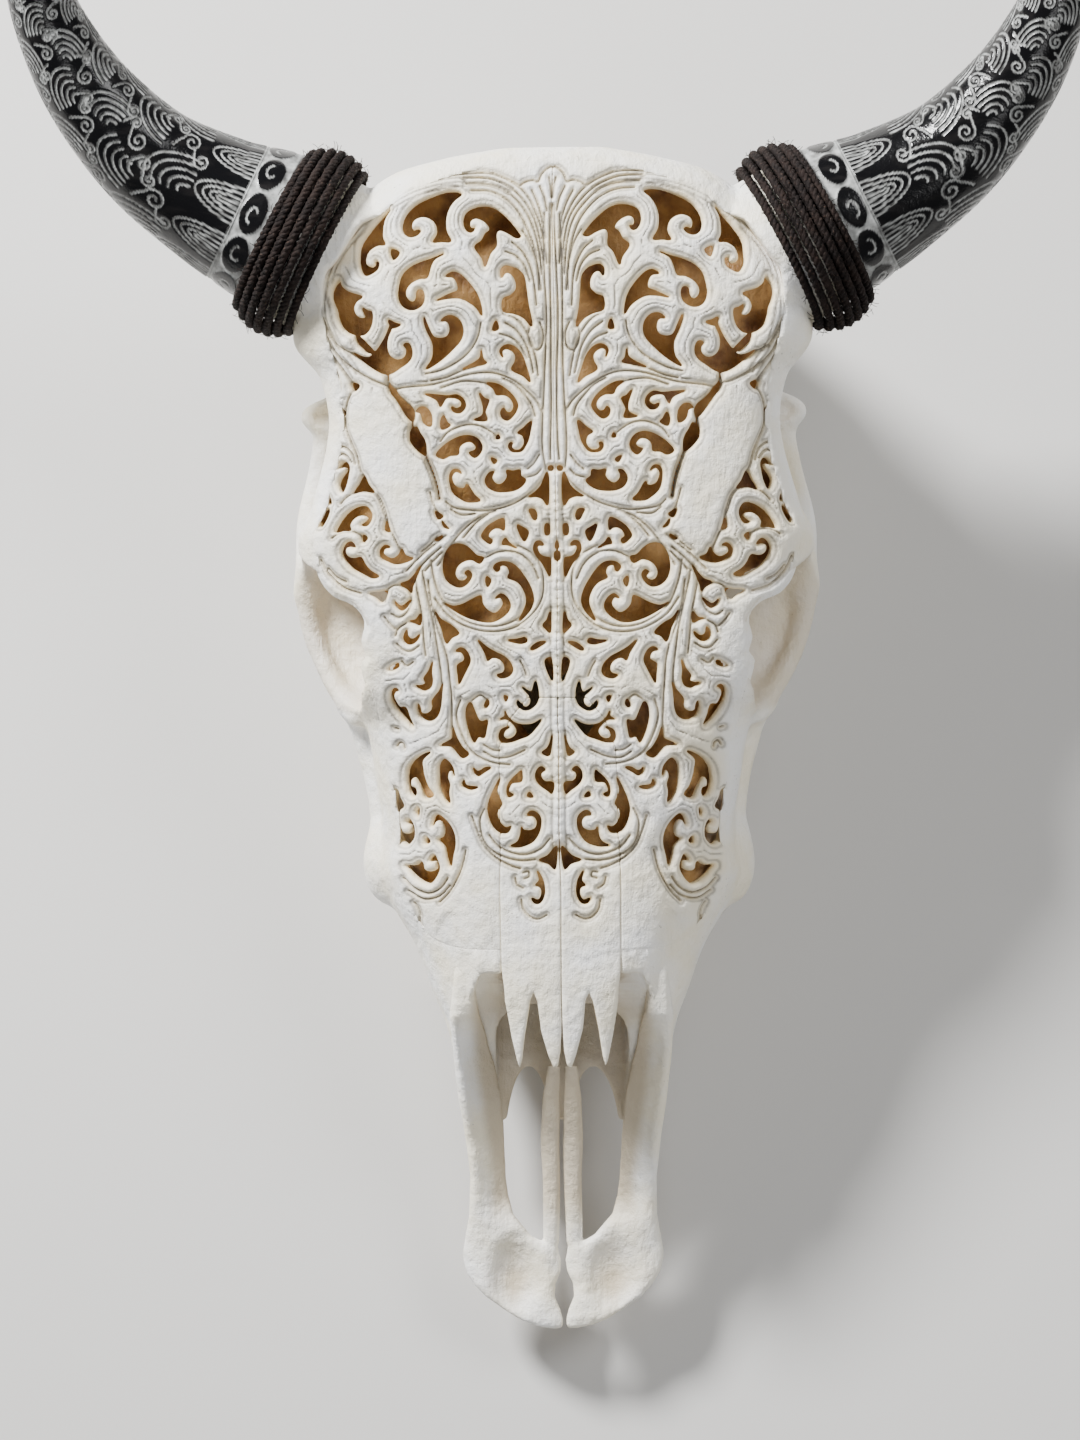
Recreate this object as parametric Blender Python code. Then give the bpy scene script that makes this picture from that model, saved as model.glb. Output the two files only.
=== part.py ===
"""Carved cow skull: bone, teeth, black horns and the cord bound round each horn base.

Lengths are in millimetres. Everything is drawn in the skull's own frame: x to the right, "along" from the
poll towards the nose, and z straight out of the flat forehead. An empty then lays the whole skull on its
cheek teeth and its two jugular processes.
"""

import math
from collections import namedtuple

import bmesh
import bpy
from mathutils import Matrix, Vector

MM = 0.001

# How the skull lies
FOREHEAD_SLOPE = math.radians(12.0)
POLL_HEIGHT = 178.0

# Gaps
TOUCH_GAP = 0.3
SUTURE_GAP = 0.35

# Levels that a cutter clears the bone by, above the forehead and under the teeth
CLEAR_ABOVE = 30.0
CLEAR_BELOW = -150.0

# Skull body
RING_POINTS = 24
BOX_POINTS = 12
BOX_FULLNESS = 3.0
BONE_WALL = 7.0
SINUS_FLOOR, SINUS_TOP = -22.0, 24.0
FOSSA_CENTRE, FOSSA_RADII = (102.0, 98.0, -62.0), (46.0, 55.0, 40.0)
ORBIT_CENTRE, ORBIT_RADII = (100.0, 196.0, -37.0), (44.0, 33.0, 31.0)
CHEEK_CENTRE, CHEEK_RADII = (106.0, 148.0, -124.0), (66.0, 64.0, 46.0)
EAR_CENTRE, EAR_RADII = (90.0, 104.0, -72.0), (15.0, 8.0, 11.0)
CONDYLE_CENTRE, CONDYLE_RADII = (26.0, 12.0, -116.0), (17.0, 20.0, 13.0)
FORAMEN_RADIUS = 17.0
FORAMEN_START, FORAMEN_DEPTH = -20.0, 70.0
FORAMEN_Z = -96.0
FORAMEN_SIDES = 20
THROAT_PLAN, THROAT_POINTS, THROAT_TOP = (0.0, 186.2, 19.3, 25.1), 14, -66.0
HOLLOW_COLUMNS, HOLLOW_ROWS = 15, 10
KNOB_COLUMNS, KNOB_ROWS = 12, 8
BAR_SIDES = 8

# Jugular processes, which the back of the skull rests on
PROCESS_TOP = (52.0, 25.0, -101.0)
PROCESS_FOOT = (46.0, 32.0)
PROCESS_RINGS = ((0.0, 19.0), (0.35, 13.5), (0.75, 8.5), (1.0, 6.0))
PROCESS_SIDES = 12
PROCESS_WIDTH_SHARE = 0.8

# Nasal bones and palate
NASAL_HALF_WIDTH = 24.0
NASAL_THICKNESS = 7.0
NASAL_ROOT = 222.0
NASAL_ROOT_HALF_WIDTH = 12.0
NASAL_SHOULDER = 238.0
NASAL_TIP = 371.0
NASAL_NOTCH = 341.0
NASAL_OUTER_PRONG = (15.5, 17.5)
NASAL_NOTCH_WIDTH = (9.0, 10.5)
NASAL_INNER_PRONG = 4.5
NASAL_PLAN_LOW, NASAL_SLOT_LOW = -60.0, -40.0
NASAL_SLOT_FRONT = 401.0
NOTCH_START = 333.0
PALATE_FRONT = 396.0
APERTURE_HALF_WIDTH = 60.0

# Horns and their bound cord
HORN_CENTRE = (102.0, 36.0, -30.0)
HORN_RISE = math.radians(28.0)
HORN_BASE_RADIUS = 32.3
HORN_SIDES = 15
HORN_CORE_ROOT, HORN_CORE_SIDES = -34.0, 24
HORN_BASE_STEPS = (TOUCH_GAP / 2.0, 7.0, 14.0)
WRAP_STEPS = 20
WRAP_HALF_LENGTH = 13.0
WRAP_BORE = 33.2
WRAP_SEAT_RADIUS, WRAP_SEAT_REACH, WRAP_SEAT_SIDES = 48.0, 60.0, 32
WRAP_SHARP_DEGREES = 60.0
CORD_TURNS = 3
CORD_BULGE = 8.2
# Outline of one turn of cord: share of its width, share of its bulge
CORD_OUTLINE = ((0.12, 0.55), (0.5, 1.0), (0.88, 0.55))

# Cheek teeth: name, length along the row, width, centre from the middle line
TOOTH_ROW_BACK = 214.0
TOOTH_HEIGHT = 17.0
TOOTH_ROOT = 6.0
TOOTH_SPACE = 0.6
TOOTH_POINTS = 10
TOOTH_FULL_ACROSS, TOOTH_FULL_ALONG = 3.0, 3.5
# Height over the table and spread of a tooth's rings
TOOTH_RINGS = ((0.0, 0.9), (3.0, 1.0), (TOOTH_HEIGHT - 2.0, 0.97),
               (TOOTH_HEIGHT + TOOTH_ROOT - TOUCH_GAP, 0.86))
GROOVE_MARGIN = 1.2
GROOVE_BELOW = 20.0
TEETH = (
    ("molar_3", 29.0, 21.0, 52.0),
    ("molar_2", 27.0, 22.0, 51.5),
    ("molar_1", 23.0, 21.0, 50.0),
    ("premolar_3", 19.0, 19.0, 48.0),
    ("premolar_2", 18.0, 17.0, 46.0),
    ("premolar_1", 15.0, 14.0, 44.5),
)

# Cross-sections of the skull body
Section = namedtuple("Section", "along half top widest bottom full_top full_bottom")
SECTIONS = (
    Section(0, 28, -12, -40, -84, 2.6, 2.2),
    Section(3.5, 46, -5, -40, -101, 2.8, 2.2),
    Section(9, 64, -2, -36, -112, 3.0, 2.3),
    Section(18, 76, 1, -32, -122, 3.2, 2.3),
    Section(30, 84, 3, -30, -126, 3.2, 2.3),
    Section(45, 94, 4, -30, -126, 3.2, 2.3),
    Section(63, 107, 4, -30, -124, 3.2, 2.3),
    Section(78, 105, 3, -30, -122, 3.2, 2.3),
    Section(93, 95, 2, -30, -120, 3.2, 2.3),
    Section(110, 92, 2, -30, -120, 3.2, 2.3),
    Section(143, 99, 1, -34, -120, 3.2, 2.5),
    Section(158, 105, 0, -37, -120, 3.2, 2.6),
    Section(178, 105, -2, -41, -120, 3.1, 2.8),
    Section(200, 100, -3, -45, -120, 3.0, 3.0),
    Section(218, 92, -4, -48, -119, 2.9, 3.2),
    Section(232, 79, -5, -52, -115, 2.8, 3.4),
    Section(252, 75, -6, -55, -111, 2.7, 3.5),
    Section(277, 72, -7, -58, -106, 2.6, 3.5),
    Section(291, 74.5, -8, -61, -103, 2.5, 3.5),
    Section(304, 70, -8, -61, -100, 2.5, 3.5),
    Section(322, 60, -9, -60, -96, 2.5, 3.5),
    Section(340, 53, -10, -58, -92, 2.5, 3.5),
    Section(356, 47, -12, -57, -86, 2.5, 3.2),
    Section(376, 43, -15, -58, -80, 2.5, 3.0),
    Section(PALATE_FRONT, 40, -20, -58, -75, 2.5, 3.0),
)

# The frontal sinus under the carved forehead: along, half width
SINUS = ((18, 52), (34, 66), (60, 84), (80, 82), (96, 70), (120, 66), (150, 66), (180, 62), (215, 58),
         (240, 52), (285, 50), (312, 44), (326, 34))

# The windows stop a little over the sinus floor
WINDOW_FLOOR = -18.4
# Windows of the carved panels: centre x, centre along, half width, half length
WINDOWS = (
    (54.0, 33.0, 19.0, 9.0),
    (53.0, 66.0, 19.0, 17.0),
    (30.0, 119.0, 16.0, 14.0),
    (77.0, 158.0, 12.0, 11.0),
    (27.0, 179.0, 16.0, 13.0),
    (55.0, 271.0, 9.0, 17.0),
    (14.0, 269.0, 8.0, 11.0),
)

# Nose: a cut through the side profile frees the nasal tips from the palate: along, z
APERTURE_PROFILE = ((NOTCH_START, 25), (NOTCH_START, -20), (350, -33), (371, -48), (402, -59), (402, 25))

# Nasal passage from the aperture back to the throat: along, half width, ceiling, floor
PASSAGE = ((404, 26, -42, -60), (371, 27, -34, -63), (333, 27, -30, -72), (280, 27, -30, -84),
           (226, 25, -32, -94), (200, 23, -40, -96))

# Roof of the mouth between the tooth rows: along, half width, ceiling
PALATE = ((404, 20, -67), (371, 27, -70), (345, 30, -79), (300, 34, -92), (250, 37, -101),
          (214, 37, -103), (196, 34, -103))

# Outer bar and spoon of a premaxilla: along, inner x, outer x, lower edge, thickness
PREMAXILLA = (
    (334.0, 36.0, 41.5, -20.0, 7.0),
    (350.0, 33.0, 44.2, -32.0, 13.0),
    (371.0, 27.0, 43.2, -47.2, 15.0),
    (386.0, 24.0, 41.5, -53.0, 14.0),
    (402.0, 23.0, 39.5, -59.0, 13.0),
    (418.0, 22.5, 38.3, -61.5, 12.0),
    (434.0, 20.5, 38.8, -63.0, 11.0),
    (443.0, 14.0, 39.8, -63.5, 10.0),
    (450.0, 3.2, 40.4, -63.5, 9.5),
    (459.0, 2.2, 39.2, -62.5, 9.0),
    (468.0, 2.0, 33.0, -60.5, 8.0),
    (476.0, 2.4, 22.0, -58.0, 6.5),
    (480.0, 4.0, 12.0, -56.5, 4.0),
)
# Palatine process of a premaxilla, the thin bar beside the middle line, in the same five values
PALATINE_BAR = (
    (372.0, 1.0, 6.0, -45.0, 4.0),
    (386.0, 0.8, 8.0, -52.0, 6.0),
    (402.0, 0.8, 8.6, -58.0, 7.0),
    (425.0, 0.8, 8.0, -61.0, 7.5),
    (446.0, 1.6, 8.0, -62.5, 7.0),
    (452.0, 3.6, 8.0, -62.0, 6.0),
)
PREMAXILLA_POINTS, PREMAXILLA_FULLNESS = 10, 2.6
# Gap in the palate beside the palatine process: x, along, half width, half length
FISSURE = (15.5, 411.0, 7.2, 32.0)
FISSURE_LOW, FISSURE_TOP = -104.0, -36.0

# Horn past its straight base: x, along, z, radius
HORN_PATH = (
    (136.0, 19.0, -28.0, 27.6),
    (162.0, 2.5, -21.0, 22.6),
    (184.0, -21.0, -11.0, 18.6),
    (197.5, -44.0, 0.0, 15.2),
    (205.5, -67.0, 12.0, 12.0),
    (208.5, -91.0, 25.0, 9.0),
    (207.5, -114.0, 37.0, 6.0),
    (203.0, -134.0, 47.0, 2.4),
)

# Edge of the orbit and the cheek bar behind it: x, along, z, radius
ORBIT_RIM = (
    (102.0, 166.0, -62.0, 5.0),
    (102.5, 184.0, -66.0, 4.4),
    (99.0, 200.0, -66.0, 4.0),
    (91.0, 216.0, -60.0, 4.0),
    (82.0, 228.0, -50.0, 4.5),
)
CHEEK_BAR = (
    (101.0, 176.0, -69.0, 6.5),
    (102.0, 150.0, -73.0, 5.5),
    (98.0, 130.0, -74.0, 5.0),
    (93.0, 110.0, -74.0, 6.0),
    (84.0, 98.0, -76.0, 8.0),
    (62.0, 90.0, -84.0, 11.0),
    (40.0, 88.0, -88.0, 12.0),
)


def floor_level(along):
    """Height, in the skull's frame, of the table under a point."""
    return -(POLL_HEIGHT - along * math.sin(FOREHEAD_SLOPE)) / math.cos(FOREHEAD_SLOPE)


def at(x, along, z):
    """A point of the skull's frame in metres."""
    return Vector((x, -along, z)) * MM


def power(value, exponent):
    """Signed power, for rounded box outlines."""
    return math.copysign(abs(value) ** exponent, value)


def material(name, colour, roughness):
    """A plain finish of one colour."""
    made = bpy.data.materials.new(name)
    made.use_nodes = True
    shader = made.node_tree.nodes["Principled BSDF"]
    shader.inputs["Base Color"].default_value = (*colour, 1.0)
    shader.inputs["Roughness"].default_value = roughness
    shader.inputs["Metallic"].default_value = 0.0
    return made


class Maker:
    """Makes objects under the empty that lays the skull down."""

    def __init__(self):
        self.frame = bpy.data.objects.new("skull_frame", None)
        bpy.context.collection.objects.link(self.frame)
        self.frame.rotation_euler = (FOREHEAD_SLOPE, 0.0, 0.0)
        self.frame.location = (0.0, 0.0, POLL_HEIGHT * MM)

    def add(self, name, bm, finish=None, sharp_degrees=40.0):
        """Turn a bmesh into an object: a piece if it has a finish, or else a cutter."""
        bmesh.ops.recalc_face_normals(bm, faces=bm.faces)
        mesh = bpy.data.meshes.new(name)
        bm.to_mesh(mesh)
        bm.free()
        made = bpy.data.objects.new(name, mesh)
        bpy.context.collection.objects.link(made)
        made.parent = self.frame
        if finish:
            mesh.materials.append(finish)
            mesh.shade_smooth()
            mesh.set_sharp_from_angle(angle=math.radians(sharp_degrees))
        else:
            made.hide_render = True
            made.display_type = "WIRE"
        return made


def loft(rings):
    """A closed solid through rings of equal point counts."""
    bm = bmesh.new()
    rows = [[bm.verts.new(point) for point in ring] for ring in rings]
    count = len(rows[0])
    for near, far in zip(rows, rows[1:]):
        for i in range(count):
            j = (i + 1) % count
            bm.faces.new((near[i], near[j], far[j], far[i]))
    bm.faces.new(rows[0])
    bm.faces.new(reversed(rows[-1]))
    return bm


def turned_ring(profile, steps, to_frame):
    """A closed ring: a closed profile of (axial, radius) pairs turned about the axis of to_frame."""
    bm = bmesh.new()
    rows = []
    for step in range(steps):
        angle = 2.0 * math.pi * step / steps
        row = []
        for axial, radius in profile:
            place = Vector((radius * math.cos(angle), radius * math.sin(angle), axial)) * MM
            row.append(bm.verts.new(to_frame @ place))
        rows.append(row)
    count = len(profile)
    for step in range(steps):
        near, far = rows[step], rows[(step + 1) % steps]
        for i in range(count):
            j = (i + 1) % count
            bm.faces.new((near[i], near[j], far[j], far[i]))
    return bm


def body_ring(section):
    """Outline of the skull body at one section, fuller above than below where the section says so."""
    points = []
    for i in range(RING_POINTS):
        angle = 2.0 * math.pi * i / RING_POINTS
        full = section.full_top if angle < math.pi else section.full_bottom
        rise = (section.top if angle < math.pi else section.bottom) - section.widest
        x = section.half * power(math.cos(angle), 2.0 / full)
        z = section.widest + abs(rise) * power(math.sin(angle), 2.0 / full)
        points.append(at(x, section.along, z))
    return points


def box_ring(along, inner, outer, low, high, points=BOX_POINTS, fullness=BOX_FULLNESS):
    """Rounded box outline across the skull."""
    ring = []
    for i in range(points):
        angle = 2.0 * math.pi * (i + 0.5) / points
        x = (inner + outer) / 2.0 + (outer - inner) / 2.0 * power(math.cos(angle), 2.0 / fullness)
        z = (low + high) / 2.0 + (high - low) / 2.0 * power(math.sin(angle), 2.0 / fullness)
        ring.append(at(x, along, z))
    return ring


def curve_value(p, q, r, s, t):
    """Catmull-Rom value between q and r."""
    square, cube = 2 * p - 5 * q + 4 * r - s, 3 * q - p - 3 * r + s
    return 0.5 * (2 * q + (r - p) * t + square * t * t + cube * t ** 3)


def smooth_path(controls, steps):
    """Catmull-Rom curve through the controls, each a tuple of x, along, z and radius."""
    ends = [controls[0]] + list(controls) + [controls[-1]]
    points = []
    for a, b, c, d in zip(ends, ends[1:], ends[2:], ends[3:]):
        for step in range(steps):
            t = step / steps
            points.append(tuple(curve_value(*values, t) for values in zip(a, b, c, d)))
    points.append(tuple(controls[-1]))
    return points


def sweep(path, sides):
    """A closed round bar along a path of (x, along, z, radius)."""
    places = [at(*point[:3]) for point in path]
    normal = None
    rings = []
    for i, place in enumerate(places):
        tangent = (places[min(i + 1, len(places) - 1)] - places[max(i - 1, 0)]).normalized()
        if normal is None:
            normal = tangent.orthogonal()
        normal = (normal - tangent * normal.dot(tangent)).normalized()
        other = tangent.cross(normal)
        radius = path[i][3] * MM
        rings.append([place + (normal * math.cos(a) + other * math.sin(a)) * radius
                      for a in (2.0 * math.pi * k / sides for k in range(sides))])
    return loft(rings)


def prism(outline, low, high):
    """An upright prism on an outline of (x, along)."""
    return loft([[at(x, along, z) for x, along in outline] for z in (low, high)])


def ellipse(x, along, half_width, half_length, points=10):
    """Outline of an ellipse in plan."""
    return [(x + half_width * math.cos(a), along + half_length * math.sin(a))
            for a in (2.0 * math.pi * k / points for k in range(points))]


def ellipsoid(centre, radii, side, columns, rows):
    """An egg-shaped solid on one side of the skull."""
    bm = bmesh.new()
    place = Matrix.Translation(at(side * centre[0], centre[1], centre[2]))
    stretch = Matrix.Diagonal(Vector((*radii, 1.0))) @ Matrix.Diagonal(Vector((MM, MM, MM, 1.0)))
    bmesh.ops.create_uvsphere(bm, u_segments=columns, v_segments=rows, radius=1.0, matrix=place @ stretch)
    return bm


def mirrored(controls, side):
    """The controls of a path, on the side asked for."""
    return [(side * point[0], *point[1:]) for point in controls]


def boolean(target, cutter, operation="DIFFERENCE"):
    """Cut, join or keep what two objects share."""
    modifier = target.modifiers.new(cutter.name, "BOOLEAN")
    modifier.operation = operation
    modifier.object = cutter
    modifier.solver = "EXACT"


def horn_axis(side):
    """Direction of the horn base, outwards, in the skull's frame."""
    return Vector((side * math.cos(HORN_RISE), math.sin(HORN_RISE), 0.0))


def horn_point(side, outwards):
    """x, along and z of a point on the straight axis of the horn base."""
    direction = horn_axis(side)
    x, along, z = HORN_CENTRE
    return (side * x + direction.x * outwards, along - direction.y * outwards, z)


def horn_frame(side):
    """Matrix whose Z axis is the horn base's axis."""
    turn = horn_axis(side).to_track_quat("Z", "Y").to_matrix().to_4x4()
    return Matrix.Translation(at(side * HORN_CENTRE[0], HORN_CENTRE[1], HORN_CENTRE[2])) @ turn


def straight_bar(side, start, end, radius, sides):
    """A round bar on the axis of the horn base."""
    return sweep([(*horn_point(side, start), radius), (*horn_point(side, end), radius)], sides)


def build_skull(make, bone):
    """The braincase and face: one lofted body, hollowed, with its arches, knobs and horn cores joined on."""
    skull = make.add("skull", loft([body_ring(section) for section in SECTIONS]), bone)
    cut_nose_and_mouth(make, skull)
    cut_sinus(make, skull)
    bore = [(0.0, along, FORAMEN_Z, FORAMEN_RADIUS) for along in (FORAMEN_START, FORAMEN_DEPTH)]
    boolean(skull, make.add("cut_foramen_magnum", sweep(bore, FORAMEN_SIDES)))
    for side, word in ((-1, "left"), (1, "right")):
        cut_side(make, skull, side, word)
        join_side(make, skull, side, word)
    return skull


def cut_nose_and_mouth(make, skull):
    """Hollows of the nose and mouth, open to the front and to the throat."""
    passage = loft([box_ring(along, -half, half, low, high) for along, half, high, low in PASSAGE])
    boolean(skull, make.add("cut_nasal_passage", passage))
    palate = loft([box_ring(along, -half, half, CLEAR_BELOW, ceiling) for along, half, ceiling in PALATE])
    boolean(skull, make.add("cut_palate", palate))
    throat = prism(ellipse(*THROAT_PLAN, THROAT_POINTS), CLEAR_BELOW, THROAT_TOP)
    boolean(skull, make.add("cut_throat", throat))
    ends = (-APERTURE_HALF_WIDTH, APERTURE_HALF_WIDTH)
    side_profile = [[at(x, along, z) for along, z in APERTURE_PROFILE] for x in ends]
    boolean(skull, make.add("cut_nasal_aperture", loft(side_profile)))
    for side, word in ((-1, "left"), (1, "right")):
        fissure = ellipse(side * FISSURE[0], *FISSURE[1:])
        boolean(skull, make.add(f"cut_palatine_fissure_{word}", prism(fissure, FISSURE_LOW, FISSURE_TOP)))


def cut_sinus(make, skull):
    """The sinus under the forehead: the body's own shape, lowered by the bone wall, above the sinus floor."""
    rings = [box_ring(along, -half, half, SINUS_FLOOR, SINUS_TOP) for along, half in SINUS]
    sinus = make.add("cut_sinus", loft(rings))
    lowered = make.add("keep_under_bone_wall", loft([body_ring(section) for section in SECTIONS[::2]]))
    lowered.location.z = -BONE_WALL * MM
    boolean(sinus, lowered, "INTERSECT")
    boolean(skull, sinus)


def cut_side(make, skull, side, word):
    """Hollows of one side: temple, cheek, orbit, tooth groove and the seat of the bound cord."""
    for centre, radii, name in ((FOSSA_CENTRE, FOSSA_RADII, "temporal_fossa"),
                                (CHEEK_CENTRE, CHEEK_RADII, "cheek_hollow"),
                                (ORBIT_CENTRE, ORBIT_RADII, "orbit")):
        hollow = ellipsoid(centre, radii, side, HOLLOW_COLUMNS, HOLLOW_ROWS)
        boolean(skull, make.add(f"cut_{name}_{word}", hollow))
    boolean(skull, make.add(f"cut_tooth_groove_{word}", tooth_groove(side)))
    seat_start = -WRAP_HALF_LENGTH - TOUCH_GAP
    seat = straight_bar(side, seat_start, WRAP_SEAT_REACH, WRAP_SEAT_RADIUS, WRAP_SEAT_SIDES)
    boolean(skull, make.add(f"cut_wrap_seat_{word}", seat))


def join_side(make, skull, side, word):
    """Bars and knobs of one side that stand off the body, and the horn core."""
    for path, name, steps in ((ORBIT_RIM, "orbit_rim", 2), (CHEEK_BAR, "cheek_bar", 1)):
        bar = sweep(smooth_path(mirrored(path, side), steps), BAR_SIDES)
        boolean(skull, make.add(f"join_{name}_{word}", bar), "UNION")
    for centre, radii, name in ((EAR_CENTRE, EAR_RADII, "ear_tube"),
                                (CONDYLE_CENTRE, CONDYLE_RADII, "condyle")):
        knob = ellipsoid(centre, radii, side, KNOB_COLUMNS, KNOB_ROWS)
        boolean(skull, make.add(f"join_{name}_{word}", knob), "UNION")
    boolean(skull, make.add(f"join_jugular_process_{word}", jugular_process(side)), "UNION")
    core = straight_bar(side, HORN_CORE_ROOT, -TOUCH_GAP / 2.0, HORN_BASE_RADIUS, HORN_CORE_SIDES)
    boolean(skull, make.add(f"join_horn_core_{word}", core), "UNION")


def jugular_process(side):
    """A prong that ends in a flat foot on the table."""
    rings = []
    for share, radius in PROCESS_RINGS:
        x = PROCESS_TOP[0] + (PROCESS_FOOT[0] - PROCESS_TOP[0]) * share
        along = PROCESS_TOP[1] + (PROCESS_FOOT[1] - PROCESS_TOP[1]) * share
        ring = []
        for k in range(PROCESS_SIDES):
            angle = 2.0 * math.pi * k / PROCESS_SIDES
            ring_along = along + radius * math.sin(angle)
            z = PROCESS_TOP[2] + (floor_level(ring_along) - PROCESS_TOP[2]) * share
            ring_x = x + radius * PROCESS_WIDTH_SHARE * math.cos(angle)
            ring.append(at(side * ring_x, ring_along, z))
        rings.append(ring)
    return loft(rings)


def tooth_places():
    """Name, middle along, length, width and x of each tooth of a row, from the back."""
    along = TOOTH_ROW_BACK
    for name, length, width, x in TEETH:
        yield name, along + length / 2.0, length, width, x
        along += length


def tooth_groove(side):
    """The groove in the upper jaw that a row of teeth stands in."""
    rings = []
    stations = [(TOOTH_ROW_BACK - TOOTH_SPACE, TEETH[0][3], TEETH[0][2])]
    stations += [(along, x, width) for _, along, _, width, x in tooth_places()]
    row_front = TOOTH_ROW_BACK + sum(tooth[1] for tooth in TEETH)
    stations.append((row_front + TOOTH_SPACE, TEETH[-1][3], TEETH[-1][2]))
    for along, x, width in stations:
        half = width / 2.0 + GROOVE_MARGIN
        top = floor_level(along) + TOOTH_HEIGHT + TOOTH_ROOT
        bottom = floor_level(along) - GROOVE_BELOW
        rings.append([at(side * x + dx, along, z)
                      for dx, z in ((-half, bottom), (half, bottom), (half, top), (-half, top))])
    return loft(rings)


def build_teeth(make, ivory):
    """Six cheek teeth a side, each with its flat grinding face on the table."""
    for side, word in ((-1, "left"), (1, "right")):
        for name, along, length, width, x in tooth_places():
            rings = []
            for height, spread in TOOTH_RINGS:
                ring = []
                for k in range(TOOTH_POINTS):
                    angle = 2.0 * math.pi * (k + 0.5) / TOOTH_POINTS
                    dx = (width / 2.0) * spread * power(math.cos(angle), 2.0 / TOOTH_FULL_ACROSS)
                    half_length = (length - TOOTH_SPACE) / 2.0
                    dy = half_length * spread * power(math.sin(angle), 2.0 / TOOTH_FULL_ALONG)
                    z = floor_level(along + dy) + height
                    ring.append(at(side * x + dx, along + dy, z))
                rings.append(ring)
            make.add(f"{name}_{word}", loft(rings), ivory)


def nasal_outline(side):
    """Plan of one nasal bone, with its two prongs: x, along."""
    inner = SUTURE_GAP / 2.0
    outline = ((inner, NASAL_ROOT), (NASAL_ROOT_HALF_WIDTH, NASAL_ROOT), (NASAL_HALF_WIDTH, NASAL_SHOULDER),
               (NASAL_HALF_WIDTH, NASAL_NOTCH),
               (NASAL_OUTER_PRONG[1], NASAL_TIP), (NASAL_OUTER_PRONG[0], NASAL_TIP),
               (NASAL_NOTCH_WIDTH[1], NASAL_NOTCH), (NASAL_NOTCH_WIDTH[0], NASAL_NOTCH),
               (NASAL_INNER_PRONG, NASAL_TIP), (inner, NASAL_TIP))
    return [(side * x, along) for x, along in outline]


def nasal_slot():
    """Plan of the slot in the skull that the two nasal bones close."""
    outer = NASAL_HALF_WIDTH + SUTURE_GAP
    root = (NASAL_ROOT_HALF_WIDTH + SUTURE_GAP, NASAL_ROOT - SUTURE_GAP)
    half = [root, (outer, NASAL_SHOULDER - SUTURE_GAP), (outer, NASAL_SLOT_FRONT)]
    return half + [(-x, along) for x, along in reversed(half)]


def build_nasals(make, bone, skull):
    """The two nasal bones, cut from the same outer surface as the skull body."""
    boolean(skull, make.add("cut_nasal_slot", prism(nasal_slot(), NASAL_SLOT_LOW, CLEAR_ABOVE)))
    lowered = make.add("cut_under_nasals", loft([body_ring(section) for section in SECTIONS]))
    lowered.location.z = -NASAL_THICKNESS * MM
    nasals = []
    for side, word in ((-1, "left"), (1, "right")):
        nasal = make.add(f"nasal_bone_{word}", loft([body_ring(section) for section in SECTIONS]), bone)
        outline = prism(nasal_outline(side), NASAL_PLAN_LOW, CLEAR_ABOVE)
        plan = make.add(f"keep_nasal_plan_{word}", outline)
        boolean(nasal, plan, "INTERSECT")
        boolean(nasal, lowered)
        nasals.append(nasal)
    return nasals


def cut_windows(make, skull, nasals):
    """The pierced windows of the carved panels, through the bone into the sinus."""
    for i, (x, along, half_width, half_length) in enumerate(WINDOWS):
        for side, word in ((-1, "left"), (1, "right")):
            outline = ellipse(side * x, along, half_width, half_length)
            window = make.add(f"cut_window_{i + 1}_{word}", prism(outline, WINDOW_FLOOR, CLEAR_ABOVE))
            if x - half_width > NASAL_HALF_WIDTH or along + half_length < NASAL_ROOT:
                boolean(skull, window)
            elif x + half_width < NASAL_HALF_WIDTH:
                boolean(nasals[0 if side < 0 else 1], window)
            else:
                boolean(skull, window)
                boolean(nasals[0 if side < 0 else 1], window)


def build_premaxillae(make, bone):
    """The two bones that end the upper jaw, each an outer bar, a spoon and a thin inner bar."""
    for side, word in ((-1, "left"), (1, "right")):
        parts = []
        for table in (PREMAXILLA, PALATINE_BAR):
            rings = []
            for along, inner, outer, low, thick in table:
                edge = low + TOUCH_GAP
                rings.append(box_ring(along, side * inner, side * outer, edge, edge + thick,
                                      PREMAXILLA_POINTS, PREMAXILLA_FULLNESS))
            parts.append(loft(rings))
        premaxilla = make.add(f"premaxilla_{word}", parts[0], bone)
        boolean(premaxilla, make.add(f"join_palatine_process_{word}", parts[1]), "UNION")


def build_horns(make, horn_black, cord_brown):
    """The horn sheaths and the cord bound round the foot of each."""
    for side, word in ((-1, "left"), (1, "right")):
        base = [(*horn_point(side, out), HORN_BASE_RADIUS) for out in HORN_BASE_STEPS]
        horn = sweep(smooth_path(base + mirrored(HORN_PATH, side), 2), HORN_SIDES)
        make.add(f"horn_{word}", horn, horn_black)
        profile = [(WRAP_HALF_LENGTH, WRAP_BORE), (-WRAP_HALF_LENGTH, WRAP_BORE)]
        turn = 2.0 * WRAP_HALF_LENGTH / CORD_TURNS
        for i in range(CORD_TURNS):
            for share, lift in CORD_OUTLINE:
                profile.append((-WRAP_HALF_LENGTH + turn * (i + share), WRAP_BORE + CORD_BULGE * lift))
        wrap = turned_ring(profile, WRAP_STEPS, horn_frame(side))
        make.add(f"horn_wrap_{word}", wrap, cord_brown, WRAP_SHARP_DEGREES)


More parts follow.
